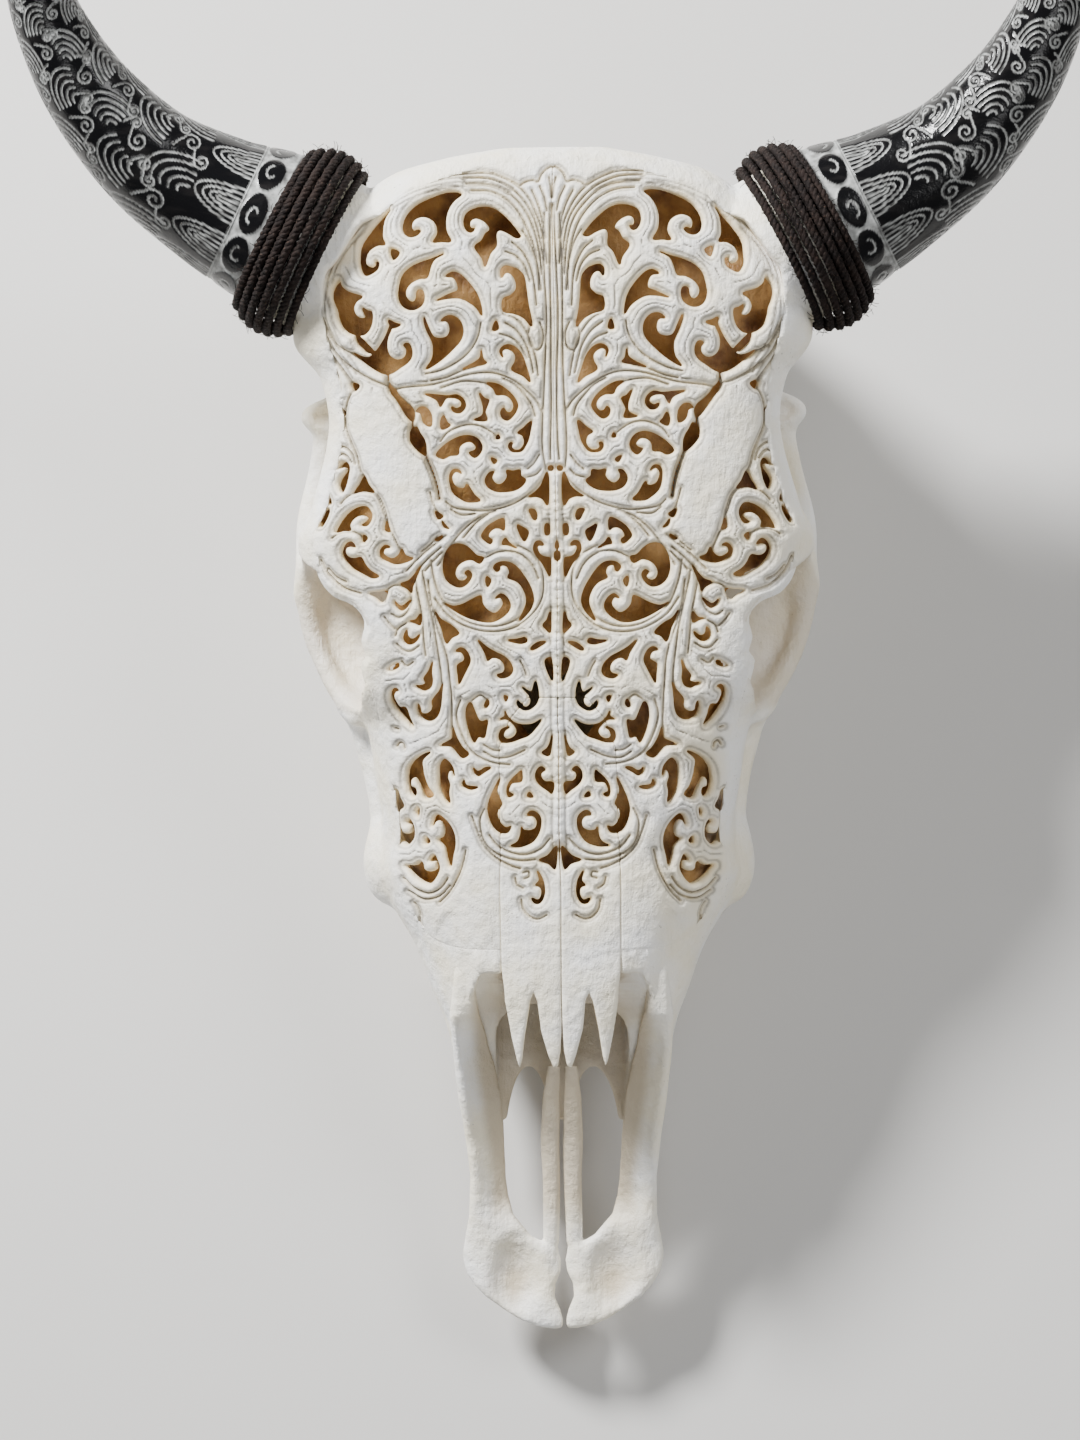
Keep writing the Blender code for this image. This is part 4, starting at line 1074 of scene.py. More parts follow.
@dataclass
class SkullBody:
    """Braincase, face and cheek bars: everything of the grown skull under and round the carved sheet."""

    profile: Profile
    sheet: CarvedSheet
    step: float = 1.4
    triangles: int = 190000
    fossa: tuple = ((102, 98, -62), (46, 55, 40))
    cheek: tuple = ((106, 148, -124), (66, 64, 46))
    orbit: tuple = ((100, 196, -37), (44, 33, 31))
    orbit_roof: tuple = ((103, 208, -17), (22, 25, 24))
    orbit_rim: tuple = ((102, 166, -62, 5), (102.5, 184, -66, 4.4), (99, 200, -66, 4), (91, 216, -60, 4),
                        (82, 228, -50, 4.5))
    cheek_bar: tuple = ((101, 176, -69, 6.5), (102, 150, -73, 5.5), (98, 130, -74, 5), (93, 110, -74, 6),
                        (84, 98, -76, 8), (62, 90, -84, 11), (40, 88, -88, 12))
    facial_crest: tuple = ((60, 306, -64, 3), (70, 290, -66, 5), (74, 262, -68, 4), (80, 238, -66, 4),
                           (84, 226, -58, 4))
    passage: tuple = ((404, 26, -42, -60), (371, 27, -34, -63), (333, 27, -30, -72), (280, 27, -30, -84),
                      (226, 25, -32, -94), (200, 23, -40, -96))
    palate: tuple = ((404, 20, -67), (371, 27, -70), (345, 30, -79), (300, 34, -92), (250, 37, -101),
                     (214, 37, -103), (196, 34, -103))
    aperture: tuple = ((333, -20), (350, -33), (371, -48), (402, -59))
    fissure: tuple[float, float, float, float] = (13.5, 411, 10.5, 37)
    sinus_floor: float = -21.0
    process_top: tuple[float, float, float] = (52, 25, -101)
    process_foot: tuple[float, float] = (46, 32)
    process_rings: tuple = ((0, 15.58), (0.35, 11.07), (0.75, 6.97), (1, 5.084))
    seat_radius: float = 43.0
    seat_depth: float = 14.0
    core_depth: float = 34.0
    throat: tuple = ((0, 186, -160, 19), (0, 186, -100, 19), (0, 192, -76, 16))
    braincase: tuple = ((0, -6, -96, 16.5), (0, 20, -94, 17), (0, 70, -88, 15))
    sinus_drop: tuple = ((8, 222, -27), (10, 17, 11))
    nerve_hole: tuple = ((62, 303, -72), (9, 8, 4.5))
    face_knob: tuple = ((72, 290, -62), (8, 15, 10), 8.0)
    ear_knob: tuple = ((90, 104, -72), (15, 8, 11), 5.0)
    ear_hole: tuple = ((92, 104, -64), (9, 4.5, 4.5))
    neck_joint: tuple = ((26, 12, -116), (17, 20, 13), 4.0)
    ear_bulb: tuple = ((33, 76, -126), (12, 19, 15), 5.0)
    base_knob: tuple = ((9, 60, -124), (9, 13, 7), 4.0)
    throat_wing: tuple = ((23, 196, -110), (3.5, 15, 17), 4.0)

    def _cut_front(self, block: Block) -> None:
        """Hollows of the nose, mouth and throat."""
        block.hollow(tuple((a, -h, h, top, low) for a, h, top, low in self.passage), 4.0, 2.0)
        block.hollow(tuple((a, -h, h, top, -190.0) for a, h, top in self.palate), 5.0, 3.0)
        block.bar(self.throat, 3.0, add=False)
        x, y, z = block.whole()
        rows = np.array(self.aperture, float)
        start = rows[0, 0] + 24.0 * smoothstep(31.0, 42.0, x)
        ramp = 1.1 * smoothstep(31.0, 42.0, x) * (z + 22.0)
        away = np.maximum(start - y - ramp, np.interp(y, rows[:, 0], rows[:, 1]) - z)
        block.values = smooth_cut(block.values, away, 2.0).astype(np.float32)

        cx, cy, rx, ry = self.fissure
        slit = (np.hypot((x - cx) / rx, (y - cy) / ry) - 1.0) * rx + 0.0 * z
        block.values = smooth_cut(block.values, slit, 1.5).astype(np.float32)

    def _cut_sinus(self, block: Block) -> None:
        """The frontal sinus under the sheet, and the slot of the nasal bones."""
        x, y, z = block.whole()
        px, py = np.broadcast_arrays(x[:, :, 0], y[:, :, 0])
        flat = np.stack([px.ravel(), py.ravel(), 0 * px.ravel()], axis=1)
        edge = self.sheet.sample(self.sheet.edge, px, py)
        nasal = self.sheet.sample(self.sheet.nasal, px, py)
        lumps = (value_noise(flat, 24.0, 31) * 2.2 + value_noise(flat, 9.0, 32) * 0.8).reshape(px.shape)
        top = self.profile.top(px, py)
        floor = np.minimum(self.sinus_floor + lumps - 3.0 * smoothstep(225, 260, py), top - 11.0)
        wall = np.maximum(edge + self.sheet.lip + 1.0, 9.0 - py)[:, :, None]
        sinus = np.maximum(wall, floor[:, :, None] - z)
        slot = np.maximum((nasal + 0.6)[:, :, None], (top - 9.0)[:, :, None] - z)
        block.values = smooth_cut(block.values, np.minimum(sinus, slot), 1.0).astype(np.float32)
        block.ball(*self.sinus_drop, 2.0, add=False)

    def _shape_side(self, block: Block) -> None:
        """Temple, cheek and orbit hollows, and the bars and knobs that stand off the body."""
        for centre, radii in (self.fossa, self.cheek, self.orbit, self.orbit_roof):
            block.ball(centre, radii, 3.0, add=False)
        block.ball(*self.nerve_hole, 2.0, add=False)
        for path, blend in ((self.orbit_rim, 5.0), (self.cheek_bar, 6.0), (self.facial_crest, 7.0)):
            block.bar(path, blend)
        block.ball(*self.face_knob, add=True)
        block.ball(*self.ear_knob, add=True)
        block.ball(*self.ear_hole, 2.0, add=False)
        for knob in (self.neck_joint, self.ear_bulb, self.base_knob, self.throat_wing):
            block.ball(*knob, add=True)
        block.bar(self.braincase, 3.0, add=False)

    def _join_feet(self, block: Block) -> None:
        """The jugular processes that stand on the table."""
        top, foot = self.process_top, self.process_foot
        path = []
        for share, radius in self.process_rings:
            x, y = [a + (b - a) * share for a, b in zip(top, foot)]
            path.append((x, y, top[2] + (floor_level(y) + 1.0 - top[2]) * share, radius))
        block.bar(tuple(path), 5.0)
        x, y, z = block.whole()
        under = floor_level(y) - z + 0.05
        block.values = np.maximum(block.values, under + 0.0 * x).astype(np.float32)

    def _join_horn_core(self, block: Block) -> None:
        """Seat of the bound cord, and the round core that carries the horn."""
        c, way = HORN_SEAT, HORN_AXIS
        x, y, z = block.whole()
        out = (x - c[0]) * way[0] + (y - c[1]) * way[1] + 0.0 * z
        away = np.sqrt(np.maximum((x - c[0]) ** 2 + (y - c[1]) ** 2 + (z - c[2]) ** 2 - out ** 2, 0.0))
        seat = np.maximum(away - self.seat_radius, -self.seat_depth - out)
        block.values = smooth_cut(block.values, seat, 2.5).astype(np.float32)
        core = np.maximum(away - HORN_RADIUS, np.maximum(out + 0.2, -self.core_depth - out))
        block.values = smooth_join(block.values, core, 1.5).astype(np.float32)

    def _marks(self, p: np.ndarray) -> dict[str, np.ndarray]:
        """Colours of the body's points: ochre in the sinus, tan painted shade in the nose and orbits."""
        x, y, z = np.abs(p[:, 0]), p[:, 1], p[:, 2]
        edge = self.sheet.sample(self.sheet.edge, x, y)
        nasal = self.sheet.sample(self.sheet.nasal, x, y)
        depth = self.profile.top(x, y) - z
        over = np.maximum(smoothstep(-2.5, -5.0, edge), smoothstep(1.0, -2.0, nasal))
        inner = over * smoothstep(2.0, 6.0, depth) * smoothstep(-40.0, -30.0, z) * (1 - smoothstep(310, 330, y))
        # Painted shade: tan deep in the nasal passage and in the orbits.
        nose = smoothstep(29.0, 25.0, x) * smoothstep(196, 206, y) * smoothstep(-101, -96, z) * smoothstep(4, 9, depth)
        c, r = np.array(self.orbit[0], float), np.array(self.orbit[1], float)
        k = np.sqrt((((np.stack([x, y, z], 1) - c) / r) ** 2).sum(1))
        socket = smoothstep(1.12, 1.0, k) * 0.55
        return {"inner": inner, "wall": np.zeros(len(p)), "groove_shade": np.zeros(len(p)),
                "hollow_shade": np.clip(np.maximum(nose * 0.8, socket), 0, 1)}

    def build(self, bone: Material) -> None:
        """Makes the body."""
        block = Block((self.step / 2, -12.0, -180.0), (120.0, 402.0, 10.0), self.step)
        x, y, z = np.broadcast_arrays(*block.whole())
        block.values = (self.profile.distance(x, y, z) + 0.2).astype(np.float32)
        self._cut_front(block)
        self._shape_side(block)
        self._join_horn_core(block)
        self._cut_sinus(block)
        self._join_feet(block)
        points, faces = block.mesh("skull_body", self.triangles, mirrored=True)
        add_piece("skull_body", grown(points), faces, bone, ("skull",), self._marks(points))


@dataclass
class Premaxillae:
    """The two bones that end the upper jaw: an outer bar, a broad front and a thin inner bar each."""

    step: float = 0.75
    triangles: int = 40000
    outer_bar: tuple = (
        (324, 36, 42.5, -28, 7), (334, 35.5, 43.2, -27.5, 8), (350, 33, 45.2, -34, 13), (371, 27, 44.2, -47.2, 15),
        (386, 24, 42.5, -53, 14),
        (402, 23, 40.2, -59, 13), (418, 22.5, 38.3, -61.5, 12), (434, 20.5, 38.8, -63, 11),
        (443, 13, 40.4, -63.5, 10), (449, 2.5, 41.4, -63.5, 9.5), (453, 1.0, 41.2, -63, 9), (458, 1.4, 39.8, -62, 8.5),
        (463, 3.6, 36.5, -61, 8.3), (468, 4.0, 32, -60, 8), (473, 1.8, 25, -59, 7), (477, 0.7, 18.5, -58, 6),
        (479.5, 0.8, 12.5, -57.4, 5), (481, 1.4, 6, -56.8, 3.5),
    )
    inner_bar: tuple = (
        (372, 1, 6, -45, 4), (386, 0.8, 8, -52, 6), (402, 0.8, 8.6, -58, 7), (425, 0.8, 8, -61, 7.5),
        (446, 1.6, 8, -62.5, 7), (452, 3.6, 8, -62, 6),
    )

    spoon: tuple = ((20, 458, -44.5), (14, 20, 14.5))

    def build(self, bone: Material) -> None:
        """Makes both bones from one half."""
        block = Block((-1.0, 328.0, -68.0), (48.0, 486.0, -6.0), self.step)
        for table, blend in ((self.outer_bar, 1.0), (self.inner_bar, 3.0)):
            block.hollow(tuple((a, i, o, low + thick, low) for a, i, o, low, thick in table), 2.5, blend, add=True)
        x, y, z = block.whole()
        rows = np.array(self.outer_bar, float)
        inner, outer, low, thick = [np.interp(y, rows[:, 0], rows[:, k]) for k in range(1, 5)]
        share = np.clip((x - inner) / (outer - inner), -0.5, 1.2)
        lean = smoothstep(340.0, 365.0, y) * smoothstep(447.0, 425.0, y) * smoothstep(7.0, 11.0, x)
        slope = low + thick * (1.1 - 0.85 * lean * np.clip(1.0 - share, 0.0, 1.0) ** 0.8)
        block.values = smooth_cut(block.values, slope - z, 2.0).astype(np.float32)
        block.ball(*self.spoon, 3.0, add=False)
        points, faces = block.mesh("premaxilla", self.triangles, mirrored=False)
        x, y, z = points.T
        low = np.interp(y, [r[0] for r in self.outer_bar], [r[3] for r in self.outer_bar])
        # Painted shade: tan on the bars' lower faces, in the spoon's hollow and on their inner faces.
        hollow = smoothstep(0.25, 0.0, np.abs(x - 21) / 90 + np.abs(y - 460) / 110)
        wide = np.interp(y, [r[0] for r in self.outer_bar], [r[2] for r in self.outer_bar])
        inner_face_shade = smoothstep(6.0, 12.0, wide - x) * smoothstep(445.0, 425.0, y)
        marks = {"hollow_shade": np.clip(smoothstep(5.0, 1.0, z - low) * 0.6 + 0.6 * hollow + 0.9 * inner_face_shade, 0, 0.95)}
        marks.update({key: np.zeros(len(points)) for key in ("inner", "wall", "groove_shade")})
        for side in Side:
            placed = grown(points * (side.value, 1.0, 1.0))
            add_piece(f"premaxilla_{side.word}_bone", placed, faces, bone, (f"premaxilla_{side.word}",), marks)


@dataclass
class CheekTeeth:
    """Six cheek teeth a side, with folded walls and crescents on the grinding faces."""

    row_back: float = 214.0
    height: float = 17.0
    root: float = 6.0
    space: float = 0.6
    columns: int = 72
    teeth: tuple = (("molar_3", 29, 21, 52), ("molar_2", 27, 22, 51.5), ("molar_1", 23, 21, 50),
                    ("premolar_3", 19, 19, 48), ("premolar_2", 18, 17, 46), ("premolar_1", 15, 14, 44.5))

    def _tooth(self, along: float, length: float, width: float, x: float) -> tuple[np.ndarray, np.ndarray, np.ndarray]:
        """Points, faces and fold marks of one tooth of the right row."""
        turn = np.linspace(0, 2 * np.pi, self.columns, endpoint=False)
        cos, sin = np.cos(turn), np.sin(turn)
        folds = 3 if length > 20 else 2
        fold = 0.5 + 0.5 * np.cos(folds * np.pi * (sin + 1.0))
        reach = 1.0 - 0.09 * (1 - fold) * np.abs(cos) ** 0.5
        dx = (width / 2) * np.sign(cos) * np.abs(cos) ** (2 / 3.0) * reach
        dy = ((length - self.space) / 2) * np.sign(sin) * np.abs(sin) ** (2 / 3.5)
        rings, marks = [], []
        for share in np.linspace(0.0, 1.0, 9)[1:]:
            crescent = np.sin(share * np.pi * 3.0) ** 2 * (1 - share ** 6)
            px, py = x + dx * share, along + dy * share
            base = floor_level(py)
            rings.append(np.stack([px, py, base + 1.5 * crescent + 0.1], axis=1))
            marks.append(np.clip(crescent, 0, 1) * np.ones(self.columns))
        for rise in np.linspace(0.0, 1.0, 12)[1:]:
            spread = 1.0 - 0.07 * rise + 0.02 * math.sin(rise * 9.0)
            px, py = x + dx * spread, along + dy * spread
            base = floor_level(py)
            rings.append(np.stack([px, py, base + rise * (self.height + self.root)], axis=1))
            marks.append(0.8 * (1 - fold) * (0.4 + 0.6 * rise))
        points = np.concatenate([np.array([[x, along, floor_level(along) + 0.1]])] + rings
                                + [rings[-1].mean(0)[None, :]])
        faces = tube_faces(len(rings), self.columns, 1, 0, len(points) - 1)
        return points, faces, np.concatenate([[0.5], *marks, [0.5]])

    def build(self, enamel: Material) -> None:
        """Makes the twelve teeth."""
        along = self.row_back
        for name, length, width, x in self.teeth:
            points, faces, fold = self._tooth(along + length / 2, length, width, x)
            for side in Side:
                add_piece(f"{name}_{side.word}_tooth", points * (side.value, 1, 1), faces, enamel,
                          (f"{name}_{side.word}",), {"fold": fold})
            along += length


class Stroke(Enum):
    """Kinds of line that the horns are carved with."""

    VOLUTE = "volute"
    PLUME = "plume"
    PETAL = "petal"
    OVAL = "oval"


@dataclass
class Horn:
    """A black horn, carved from the root to the tip; one is made and the other mirrors it."""

    base_steps: tuple[float, ...] = (0.2, 7.0, 14.0)
    path: tuple = ((136, 19, -28, 27.6), (162, 2.5, -21, 22.6), (184, -21, -11, 18.6), (197.5, -44, 0, 15.2),
                   (205.5, -67, 12, 12), (208.5, -91, 25, 9), (207.5, -114, 37, 6), (203, -134, 47, 2.4))
    rows: int = 404
    columns: int = 244
    line_width: float = 0.34
    line_depth: float = 0.5
    oval_row: float = 21.5
    ovals: int = 10
    oval_length: float = 6.3
    oval_width: float = 0.52
    band: float = 6.2
    rings: tuple[float, float] = (14.6, 28.6)
    petals: int = 9
    plumes: int = 5
    plume_start: float = 60.0
    volutes: tuple = ((2.0, 0.5, 11, -1), (-6.0, 0.30, 15, 1), (8.0, 0.68, 17, 1))

    def _spine(self) -> tuple[np.ndarray, np.ndarray]:
        """Even points along the horn with their radii, and the distance along it."""
        start = [(*(c + out * way for c, way in zip(HORN_SEAT, HORN_AXIS)), HORN_RADIUS) for out in self.base_steps]
        line = smooth_line(np.array(start + list(self.path), float), False, 24)
        far = np.concatenate([[0], np.cumsum(np.linalg.norm(np.diff(line[:, :3], axis=0), axis=1))])
        even = np.linspace(0, far[-1], self.rows)
        return np.stack([np.interp(even, far, line[:, k]) for k in range(4)], axis=1), even

    def _stroke(self, kind: Stroke, size: float, way: int) -> list[np.ndarray]:
        """Lines of one motif about its own middle: (along the horn, round it) in mm."""
        t = np.linspace(0, 1, 18)
        if kind is Stroke.VOLUTE:
            turn = way * (t * 1.45 * 2 * np.pi)
            reach = size * (0.5 - 0.42 * t)
            curl = np.stack([reach * np.cos(turn), reach * np.sin(turn)], axis=1)
            tail = np.stack([size * (0.5 + 0.25 * t), -way * size * 0.55 * t ** 1.5], axis=1)
            return [curl, tail]
        if kind is Stroke.PLUME:
            lines = []
            for k in range(5):
                reach = size * (1.0 - 0.2 * k)
                lines.append(np.stack([reach * 0.95 * np.sin(t * 2.1) - size * 0.3,
                                       way * (reach * 0.55 * (1 - np.cos(t * 2.1)) - size * 0.42 + 0.13 * size * k)],
                                      axis=1))
            return lines
        if kind is Stroke.PETAL:
            lines = []
            for share in (0.96, 0.68, 0.41, 0.15):
                u = np.linspace(-1, 1, 25)
                lines.append(np.stack([size * (0.45 + 0.55 * share) * (1 - np.abs(u) ** 2.0) * 2.3,
                                       size * share * u * (1 - 0.25 * u * u)], axis=1))
            return lines
        curl = np.linspace(0, 1.3 * np.pi, 12)
        return [np.stack([size * 0.22 * np.sin(curl), way * size * (0.1 + 0.35 * np.cos(curl))], axis=1)]

    def _motifs(self, length: float) -> list[tuple[Stroke, float, float, int, int]]:
        """The motifs: kind, place along, place round as a share of a turn, count round and direction."""
        made = [(Stroke.OVAL, self.oval_row, k / self.ovals, self.ovals, 1 if k % 2 else -1)
                for k in range(self.ovals)]
        made += [(Stroke.PETAL, self.rings[1], k / self.petals, self.petals, 1) for k in range(self.petals)]
        place, row, count = self.plume_start, 0, self.plumes
        while place < length - 14:
            for k in range(count):
                share = (k + 0.5 * (row % 2)) / count
                way = 1 if (k + row) % 2 else -1
                made.append((Stroke.PLUME, place, share, count, way))
                for ahead, beside, around, turn in self.volutes:
                    made.append((Stroke.VOLUTE, place + ahead, share + beside / count, around, turn * way))
            place += 3.0 + 17.0 * float(np.interp(place, [58, length], [1.0, 0.16]))
            row += 1
        return made

    def _carve(self, radius: np.ndarray, even: np.ndarray) -> np.ndarray:
        """Distance in mm from each point of the horn's skin to the nearest carved line."""
        turn = np.linspace(0, 2 * np.pi, self.columns, endpoint=False)
        near = np.full((self.rows, self.columns), 9.0)
        for kind, place, share, count, way in self._motifs(even[-1]):
            local = float(np.interp(place, even, radius))
            size = 2 * np.pi * local / count * (0.5 if kind in (Stroke.OVAL, Stroke.PETAL) else 0.72)
            for line in self._stroke(kind, size, way):
                line = line + (place, 0.0)
                i = slice(*np.searchsorted(even, (line[:, 0].min() - 2, line[:, 0].max() + 2)))
                if i.stop - i.start < 2:
                    continue
                away = (turn - share * 2 * np.pi + np.pi) % (2 * np.pi) - np.pi
                j = np.flatnonzero(np.abs(away) * local < np.abs(line[:, 1]).max() + 3)
                px = even[i, None] + 0.0 * away[None, j]
                py = away[None, j] * radius[i, None]
                found = line_distance(px, py, line)
                block = near[i][:, j]
                near[np.ix_(np.arange(i.start, i.stop), j)] = np.minimum(block, found)
        share = (turn[None, :] * self.ovals / (2 * np.pi) + 0.5) % 1.0 - 0.5
        oval = np.hypot((even[:, None] - self.oval_row) / self.oval_length, share / self.oval_width)
        ground = np.maximum((1.0 - oval) * 4.0, np.abs(even[:, None] - self.oval_row) - self.band)
        near = np.minimum(near, np.maximum(ground, 0.0))
        for ring in self.rings:
            near = np.minimum(near, np.abs(even - ring)[:, None])
        return near

    def build(self, horn_black: Material) -> None:
        """Makes both horns."""
        spine, even = self._spine()
        centre, radius = spine[:, :3], spine[:, 3]
        ahead = np.gradient(centre, axis=0)
        ahead /= np.linalg.norm(ahead, axis=1)[:, None]
        up = np.zeros((self.rows, 3))
        last = np.array([0.0, 0.0, 1.0])
        for k in range(self.rows):
            last = last - ahead[k] * (last @ ahead[k])
            last /= np.linalg.norm(last)
            up[k] = last
        beside = np.cross(ahead, up)
        near = self._carve(radius, even)
        line = 1.0 - smoothstep(self.line_width * 0.75, self.line_width * 1.5, near)
        fade = 1.0 - 0.7 * smoothstep(even[-1] - 20, even[-1] - 4, even)[:, None]
        swell = radius[:, None] - self.line_depth * fade * np.exp(-(near / (self.line_width * 1.1)) ** 2)
        end = np.clip((even[-1] - even) / (radius[-1] * 1.5), 0.0, 1.0)[:, None]
        swell = swell * np.sqrt(1 - (1 - end) ** 2 * 0.97)
        turn = np.linspace(0, 2 * np.pi, self.columns, endpoint=False)
        skin = (centre[:, None, :] + swell[:, :, None] * (np.cos(turn)[None, :, None] * up[:, None, :]
                                                          + np.sin(turn)[None, :, None] * beside[:, None, :]))
        inner = centre[:1, None, :] + (skin[:1] - centre[:1, None, :]) * 0.5
        rings = np.concatenate([inner, skin])
        points = np.concatenate([rings.reshape(-1, 3), centre[:1], centre[-1:] + ahead[-1:] * 0.3])
        faces = tube_faces(len(rings), self.columns, 0, len(points) - 2, len(points) - 1)
        # The line mark also places the painted sheen of the finish.
        marks = np.concatenate([np.zeros(self.columns), (line * fade).ravel(), [0.0, 0.0]])
        for side in Side:
            add_piece(f"horn_{side.word}_carved", points * (side.value, 1, 1), faces, horn_black,
                      (f"horn_{side.word}",), {"line": marks})


@dataclass
class HornWrap:
    """Turns of thin twisted cord bound close round the foot of a horn, with loose fibres."""

    turns: int = 7
    bore: float = 32.6
    rope: float = 1.95
    dome: float = 4.6
    strands: int = 3
    twist_pitch: float = 8.0
    fibres: float = 24000.0
    fibre_length: float = 0.0042
    first_turn: float = 3.6
    tuck: float = 2.4
    tuck_turn: float = 0.12
    points_per_turn: int = 120

    def _path(self, side: Side) -> tuple[np.ndarray, np.ndarray, np.ndarray]:
        """Middle line of the cord in metres, with the origin and direction of the horn's axis."""
        seat, way, across, up = np.array([HORN_SEAT, HORN_AXIS, HORN_ACROSS, (0.0, 0.0, 1.0)])
        t = np.linspace(0, self.turns, self.turns * self.points_per_turn)
        width = 2 * self.rope * (self.turns - 1)
        out = np.clip((t - 0.5) / (self.turns - 1.0), 0.0, 1.0) * width - width / 2
        tucked = smoothstep(self.tuck_turn, 0.0, t) + smoothstep(self.turns - self.tuck_turn, self.turns, t)
        reach = self.bore + self.rope + self.dome * (1.0 - (out / (width / 2)) ** 2) - self.tuck * tucked
        turn = 2 * np.pi * t + self.first_turn
        path = (seat + out[:, None] * way
                + reach[:, None] * (np.cos(turn)[:, None] * across + np.sin(turn)[:, None] * up))
        mirror = np.array([side.value, 1.0, 1.0])
        ends = to_world(np.array([seat, seat + way * 10]) * mirror)
        return to_world(path * mirror), ends[0], (ends[1] - ends[0]) / np.linalg.norm(ends[1] - ends[0])

    def _tree(self, material: Material) -> tuple[bpy.types.NodeTree, dict[str, str]]:
        """Geometry Nodes that lay twisted strands along a line and set fibres on them.

        Args:
            material: finish of the strands and fibres.

        Returns:
            The tree, and the identifier of each named input.
        """
        tree = bpy.data.node_groups.new("Bound Cord", "GeometryNodeTree")
        face = tree.interface
        face.new_socket("Geometry", in_out="INPUT", socket_type="NodeSocketGeometry")
        face.new_socket("Geometry", in_out="OUTPUT", socket_type="NodeSocketGeometry")
        names = {}
        for name, kind in (("Strands", "NodeSocketInt"), ("Strand Radius", "NodeSocketFloat"),
                           ("Strand Offset", "NodeSocketFloat"), ("Twist", "NodeSocketFloat"),
                           ("Axis Origin", "NodeSocketVector"), ("Axis Direction", "NodeSocketVector"),
                           ("Fibre Density", "NodeSocketFloat"), ("Fibre Length", "NodeSocketFloat"),
                           ("Seed", "NodeSocketInt")):
            names[name] = face.new_socket(name, in_out="INPUT", socket_type=kind).identifier
        nodes, links = tree.nodes, tree.links
        given, result = nodes.new("NodeGroupInput"), nodes.new("NodeGroupOutput")

        def node(kind: str, inputs: dict | None = None, **settings: object) -> bpy.types.Node:
            """Adds a node, sets it up and joins its inputs."""
            made = nodes.new(kind)
            for key, value in settings.items():
                setattr(made, key, value)
            for key, value in (inputs or {}).items():
                if isinstance(value, Socket):
                    links.new(value, made.inputs[key])
                else:
                    made.inputs[key].default_value = value
            return made

        def maths(operation: str, a: object, b: object = 0.0) -> Socket:
            """A sum of two numbers."""
            return node("ShaderNodeMath", {0: a, 1: b}, operation=operation).outputs[0]

        def vectors(operation: str, a: object, b: object | None = None, scale: object | None = None,
                    output: int = 0) -> Socket:
            """A sum of vectors."""
            inputs = {0: a} if b is None else {0: a, 1: b}
            if scale is not None:
                inputs["Scale"] = scale
            return node("ShaderNodeVectorMath", inputs, operation=operation).outputs[output]

        line = node("GeometryNodeMeshToCurve", {"Mesh": given.outputs["Geometry"]})
        copies = node("GeometryNodeDuplicateElements",
                      {"Geometry": line.outputs[0], "Amount": given.outputs["Strands"]}, domain="SPLINE")
        place = node("GeometryNodeInputPosition").outputs[0]
        tangent = node("GeometryNodeInputTangent").outputs[0]
        length = node("GeometryNodeSplineParameter").outputs["Length"]
        arm = vectors("SUBTRACT", place, given.outputs["Axis Origin"])
        reach = vectors("DOT_PRODUCT", arm, given.outputs["Axis Direction"], output=1)
        axis = vectors("SCALE", given.outputs["Axis Direction"], scale=reach)
        radial = vectors("NORMALIZE", vectors("SUBTRACT", arm, axis))
        beside = vectors("NORMALIZE", vectors("CROSS_PRODUCT", tangent, radial))
        share = maths("DIVIDE", copies.outputs["Duplicate Index"], given.outputs["Strands"])
        turn = maths("MULTIPLY", maths("ADD", share, maths("MULTIPLY", length, given.outputs["Twist"])), 2 * math.pi)
        arms = [vectors("SCALE", way, scale=maths("MULTIPLY", maths(wave, turn), given.outputs["Strand Offset"]))
                for way, wave in ((radial, "COSINE"), (beside, "SINE"))]
        moved = node("GeometryNodeSetPosition", {"Geometry": copies.outputs[0], "Offset": vectors("ADD", *arms)})
        section = node("GeometryNodeCurvePrimitiveCircle", {"Resolution": 10, "Radius": given.outputs["Strand Radius"]})
        rope = node("GeometryNodeCurveToMesh", {"Curve": moved.outputs[0], "Profile Curve": section.outputs[0],
                                                "Fill Caps": True})
        scatter = node("GeometryNodeDistributePointsOnFaces", {"Mesh": rope.outputs[0],
                                                               "Density": given.outputs["Fibre Density"],
                                                               "Seed": given.outputs["Seed"]})
        hair_line = node("GeometryNodeCurveQuadraticBezier", {
            "Resolution": 5, "Start": (0.0, 0.0, 0.0), "Middle": (0.1, 0.45, 0.25), "End": (0.0, 1.0, 0.12)})
        hair_section = node("GeometryNodeCurvePrimitiveCircle", {"Resolution": 3, "Radius": 0.03})
        hair = node("GeometryNodeCurveToMesh", {"Curve": hair_line.outputs[0], "Profile Curve": hair_section.outputs[0],
                                                "Fill Caps": True})
        spin = node("FunctionNodeRandomValue", {"Seed": given.outputs["Seed"]}, data_type="FLOAT")
        spin.inputs[2].default_value, spin.inputs[3].default_value = 0.0, 2 * math.pi
        around = node("ShaderNodeCombineXYZ", {"Z": spin.outputs[1]})
        turned = node("FunctionNodeRotateRotation", {"Rotation": scatter.outputs["Rotation"],
                                                     "Rotate By": around.outputs[0]}, rotation_space="LOCAL")
        fibre = node("GeometryNodeInstanceOnPoints", {"Points": scatter.outputs["Points"], "Instance": hair.outputs[0],
                                                      "Rotation": turned.outputs[0],
                                                      "Scale": given.outputs["Fibre Length"]})
        joined = nodes.new("GeometryNodeJoinGeometry")
        links.new(rope.outputs[0], joined.inputs[0])
        links.new(fibre.outputs[0], joined.inputs[0])
        smooth = node("GeometryNodeSetShadeSmooth", {"Geometry": joined.outputs[0]})
        real = node("GeometryNodeRealizeInstances", {"Geometry": smooth.outputs[0]})
        dressed = node("GeometryNodeSetMaterial", {"Geometry": real.outputs[0], "Material": material})
        links.new(dressed.outputs[0], result.inputs[0])
        return tree, names

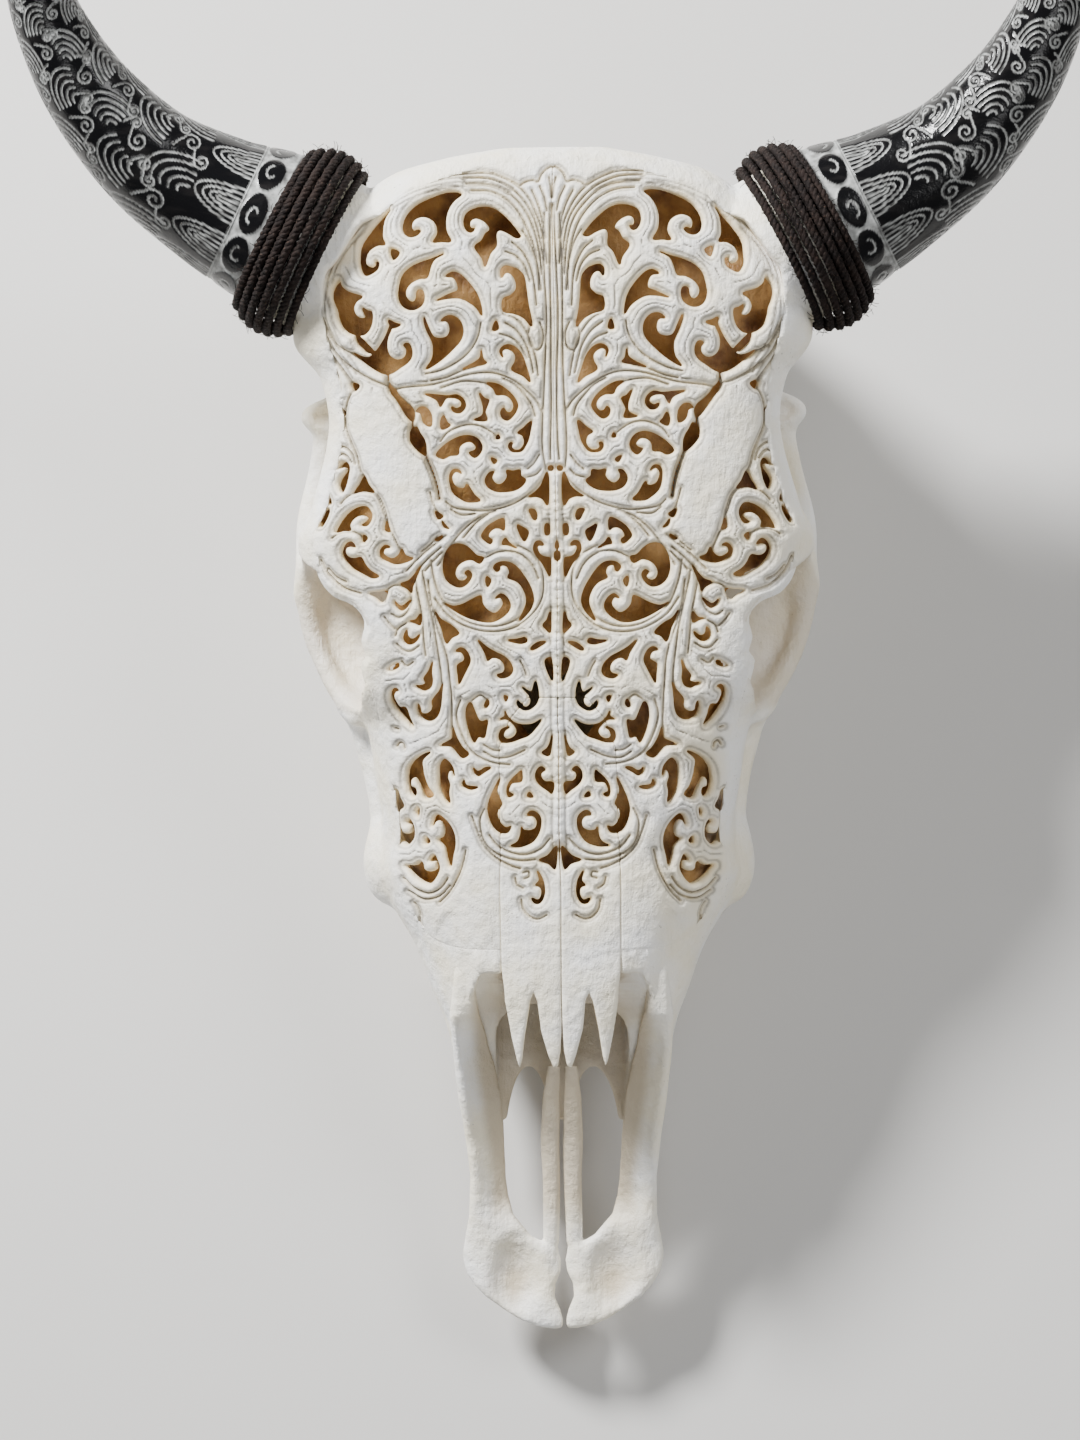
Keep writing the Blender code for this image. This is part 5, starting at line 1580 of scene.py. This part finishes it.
    def build(self, cord: Material) -> None:
        """Makes the wraps of both horns."""
        tree, names = self._tree(cord)
        for side in Side:
            path, origin, way = self._path(side)
            line = bpy.data.meshes.new("cord_line")
            line.from_pydata(path.tolist(), [(k, k + 1) for k in range(len(path) - 1)], [])
            work = bpy.data.objects.new("cord_line", line)
            bpy.context.scene.collection.objects.link(work)
            layer = work.modifiers.new("Bound Cord", "NODES")
            layer.node_group = tree
            sizes = {"Strands": self.strands, "Strand Radius": 0.55 * self.rope * MM,
                     "Strand Offset": 0.46 * self.rope * MM, "Twist": 1.0 / (self.twist_pitch * MM),
                     "Axis Origin": origin.tolist(), "Axis Direction": way.tolist(),
                     "Fibre Density": self.fibres, "Fibre Length": self.fibre_length, "Seed": 7 + side.value}
            for key, value in sizes.items():
                layer[names[key]] = value
            made = bpy.data.meshes.new_from_object(work.evaluated_get(bpy.context.evaluated_depsgraph_get()))
            work.modifiers.remove(layer)
            bpy.data.objects.remove(work)
            finish_piece(f"horn_wrap_{side.word}_cord", made, cord, (f"horn_wrap_{side.word}",))


@dataclass
class Studio:
    """Plain pale floor, plain soft light, and the camera square to the forehead."""

    floor_size: float = 6.0
    lights: tuple = (("key", (-1.15, 1.2, 1.25), 0.5, 138.0), ("fill", (1.3, 0.6, 1.7), 1.0, 22.0),
                     ("low", (0.2, -1.6, 1.6), 1.2, 12.0))
    sky: Colour = (0.95, 0.96, 1.0)
    sky_strength: float = 0.16

    def build(self, pale: Material) -> None:
        """Makes the floor, lights and camera."""
        s = self.floor_size / 2
        mesh = bpy.data.meshes.new("floor")
        mesh.from_pydata([(-s, -s, 0), (s, -s, 0), (s, s, 0), (-s, s, 0)], [], [(0, 1, 2, 3)])
        mesh.materials.append(pale)
        floor = bpy.data.objects.new("floor", mesh)
        bpy.context.scene.collection.objects.link(floor)
        aim = Vector((0.0, 0.0, 0.1))
        for name, place, size, power in self.lights:
            data = bpy.data.lights.new(name, "AREA")
            data.shape, data.size, data.energy = "DISK", size, power
            lamp = bpy.data.objects.new(name, data)
            lamp.location = place
            lamp.rotation_euler = (aim - Vector(place)).to_track_quat("-Z", "Y").to_euler()
            bpy.context.scene.collection.objects.link(lamp)
        world = bpy.data.worlds.new("studio")
        world.use_nodes = True
        light = world.node_tree.nodes["Background"]
        light.inputs["Color"].default_value = (*self.sky, 1.0)
        light.inputs["Strength"].default_value = self.sky_strength
        bpy.context.scene.world = world
        self._camera()

    def _camera(self) -> None:
        """Looks straight down on the forehead plane, as the photograph does."""
        data = bpy.data.cameras.new("camera")
        data.sensor_fit, data.sensor_height = "VERTICAL", 36.0
        data.lens = data.sensor_height * CAMERA_DISTANCE / (PHOTO_HEIGHT * PIXEL)
        data.clip_end = 20.0
        middle = photo_points(f"{PHOTO_WIDTH / 2},{PHOTO_HEIGHT / 2}")[0]
        target = Vector(to_world(np.array([[-middle[0], middle[1], 0.0]]))[0])
        back = Vector((0.0, -math.sin(TILT), math.cos(TILT)))
        poll = Vector((0.0, math.cos(TILT), math.sin(TILT)))
        across = Vector((1.0, 0.0, 0.0))
        right = (across - poll * MIDDLE_LEAN).normalized()
        up = (poll + across * MIDDLE_LEAN).normalized()
        turn = Matrix((right, up, back)).transposed().to_4x4()
        camera = bpy.data.objects.new("camera", data)
        camera.matrix_world = Matrix.Translation(target + back * CAMERA_DISTANCE * MM) @ turn
        bpy.context.scene.collection.objects.link(camera)
        bpy.context.scene.camera = camera


def main() -> None:
    """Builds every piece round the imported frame."""
    logging.basicConfig(level=logging.INFO, format="%(message)s")
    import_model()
    bone = BoneFinish().make()
    profile = Profile()
    Studio().build(FloorFinish().make())
    sheet = CarvedSheet(profile)
    sheet.build(bone)
    SkullBody(profile, sheet).build(bone)
    Premaxillae().build(bone)
    CheekTeeth().build(EnamelFinish().make())
    Horn().build(HornFinish().make())
    HornWrap().build(CordFinish().make())


if __name__ == "__main__":
    main()
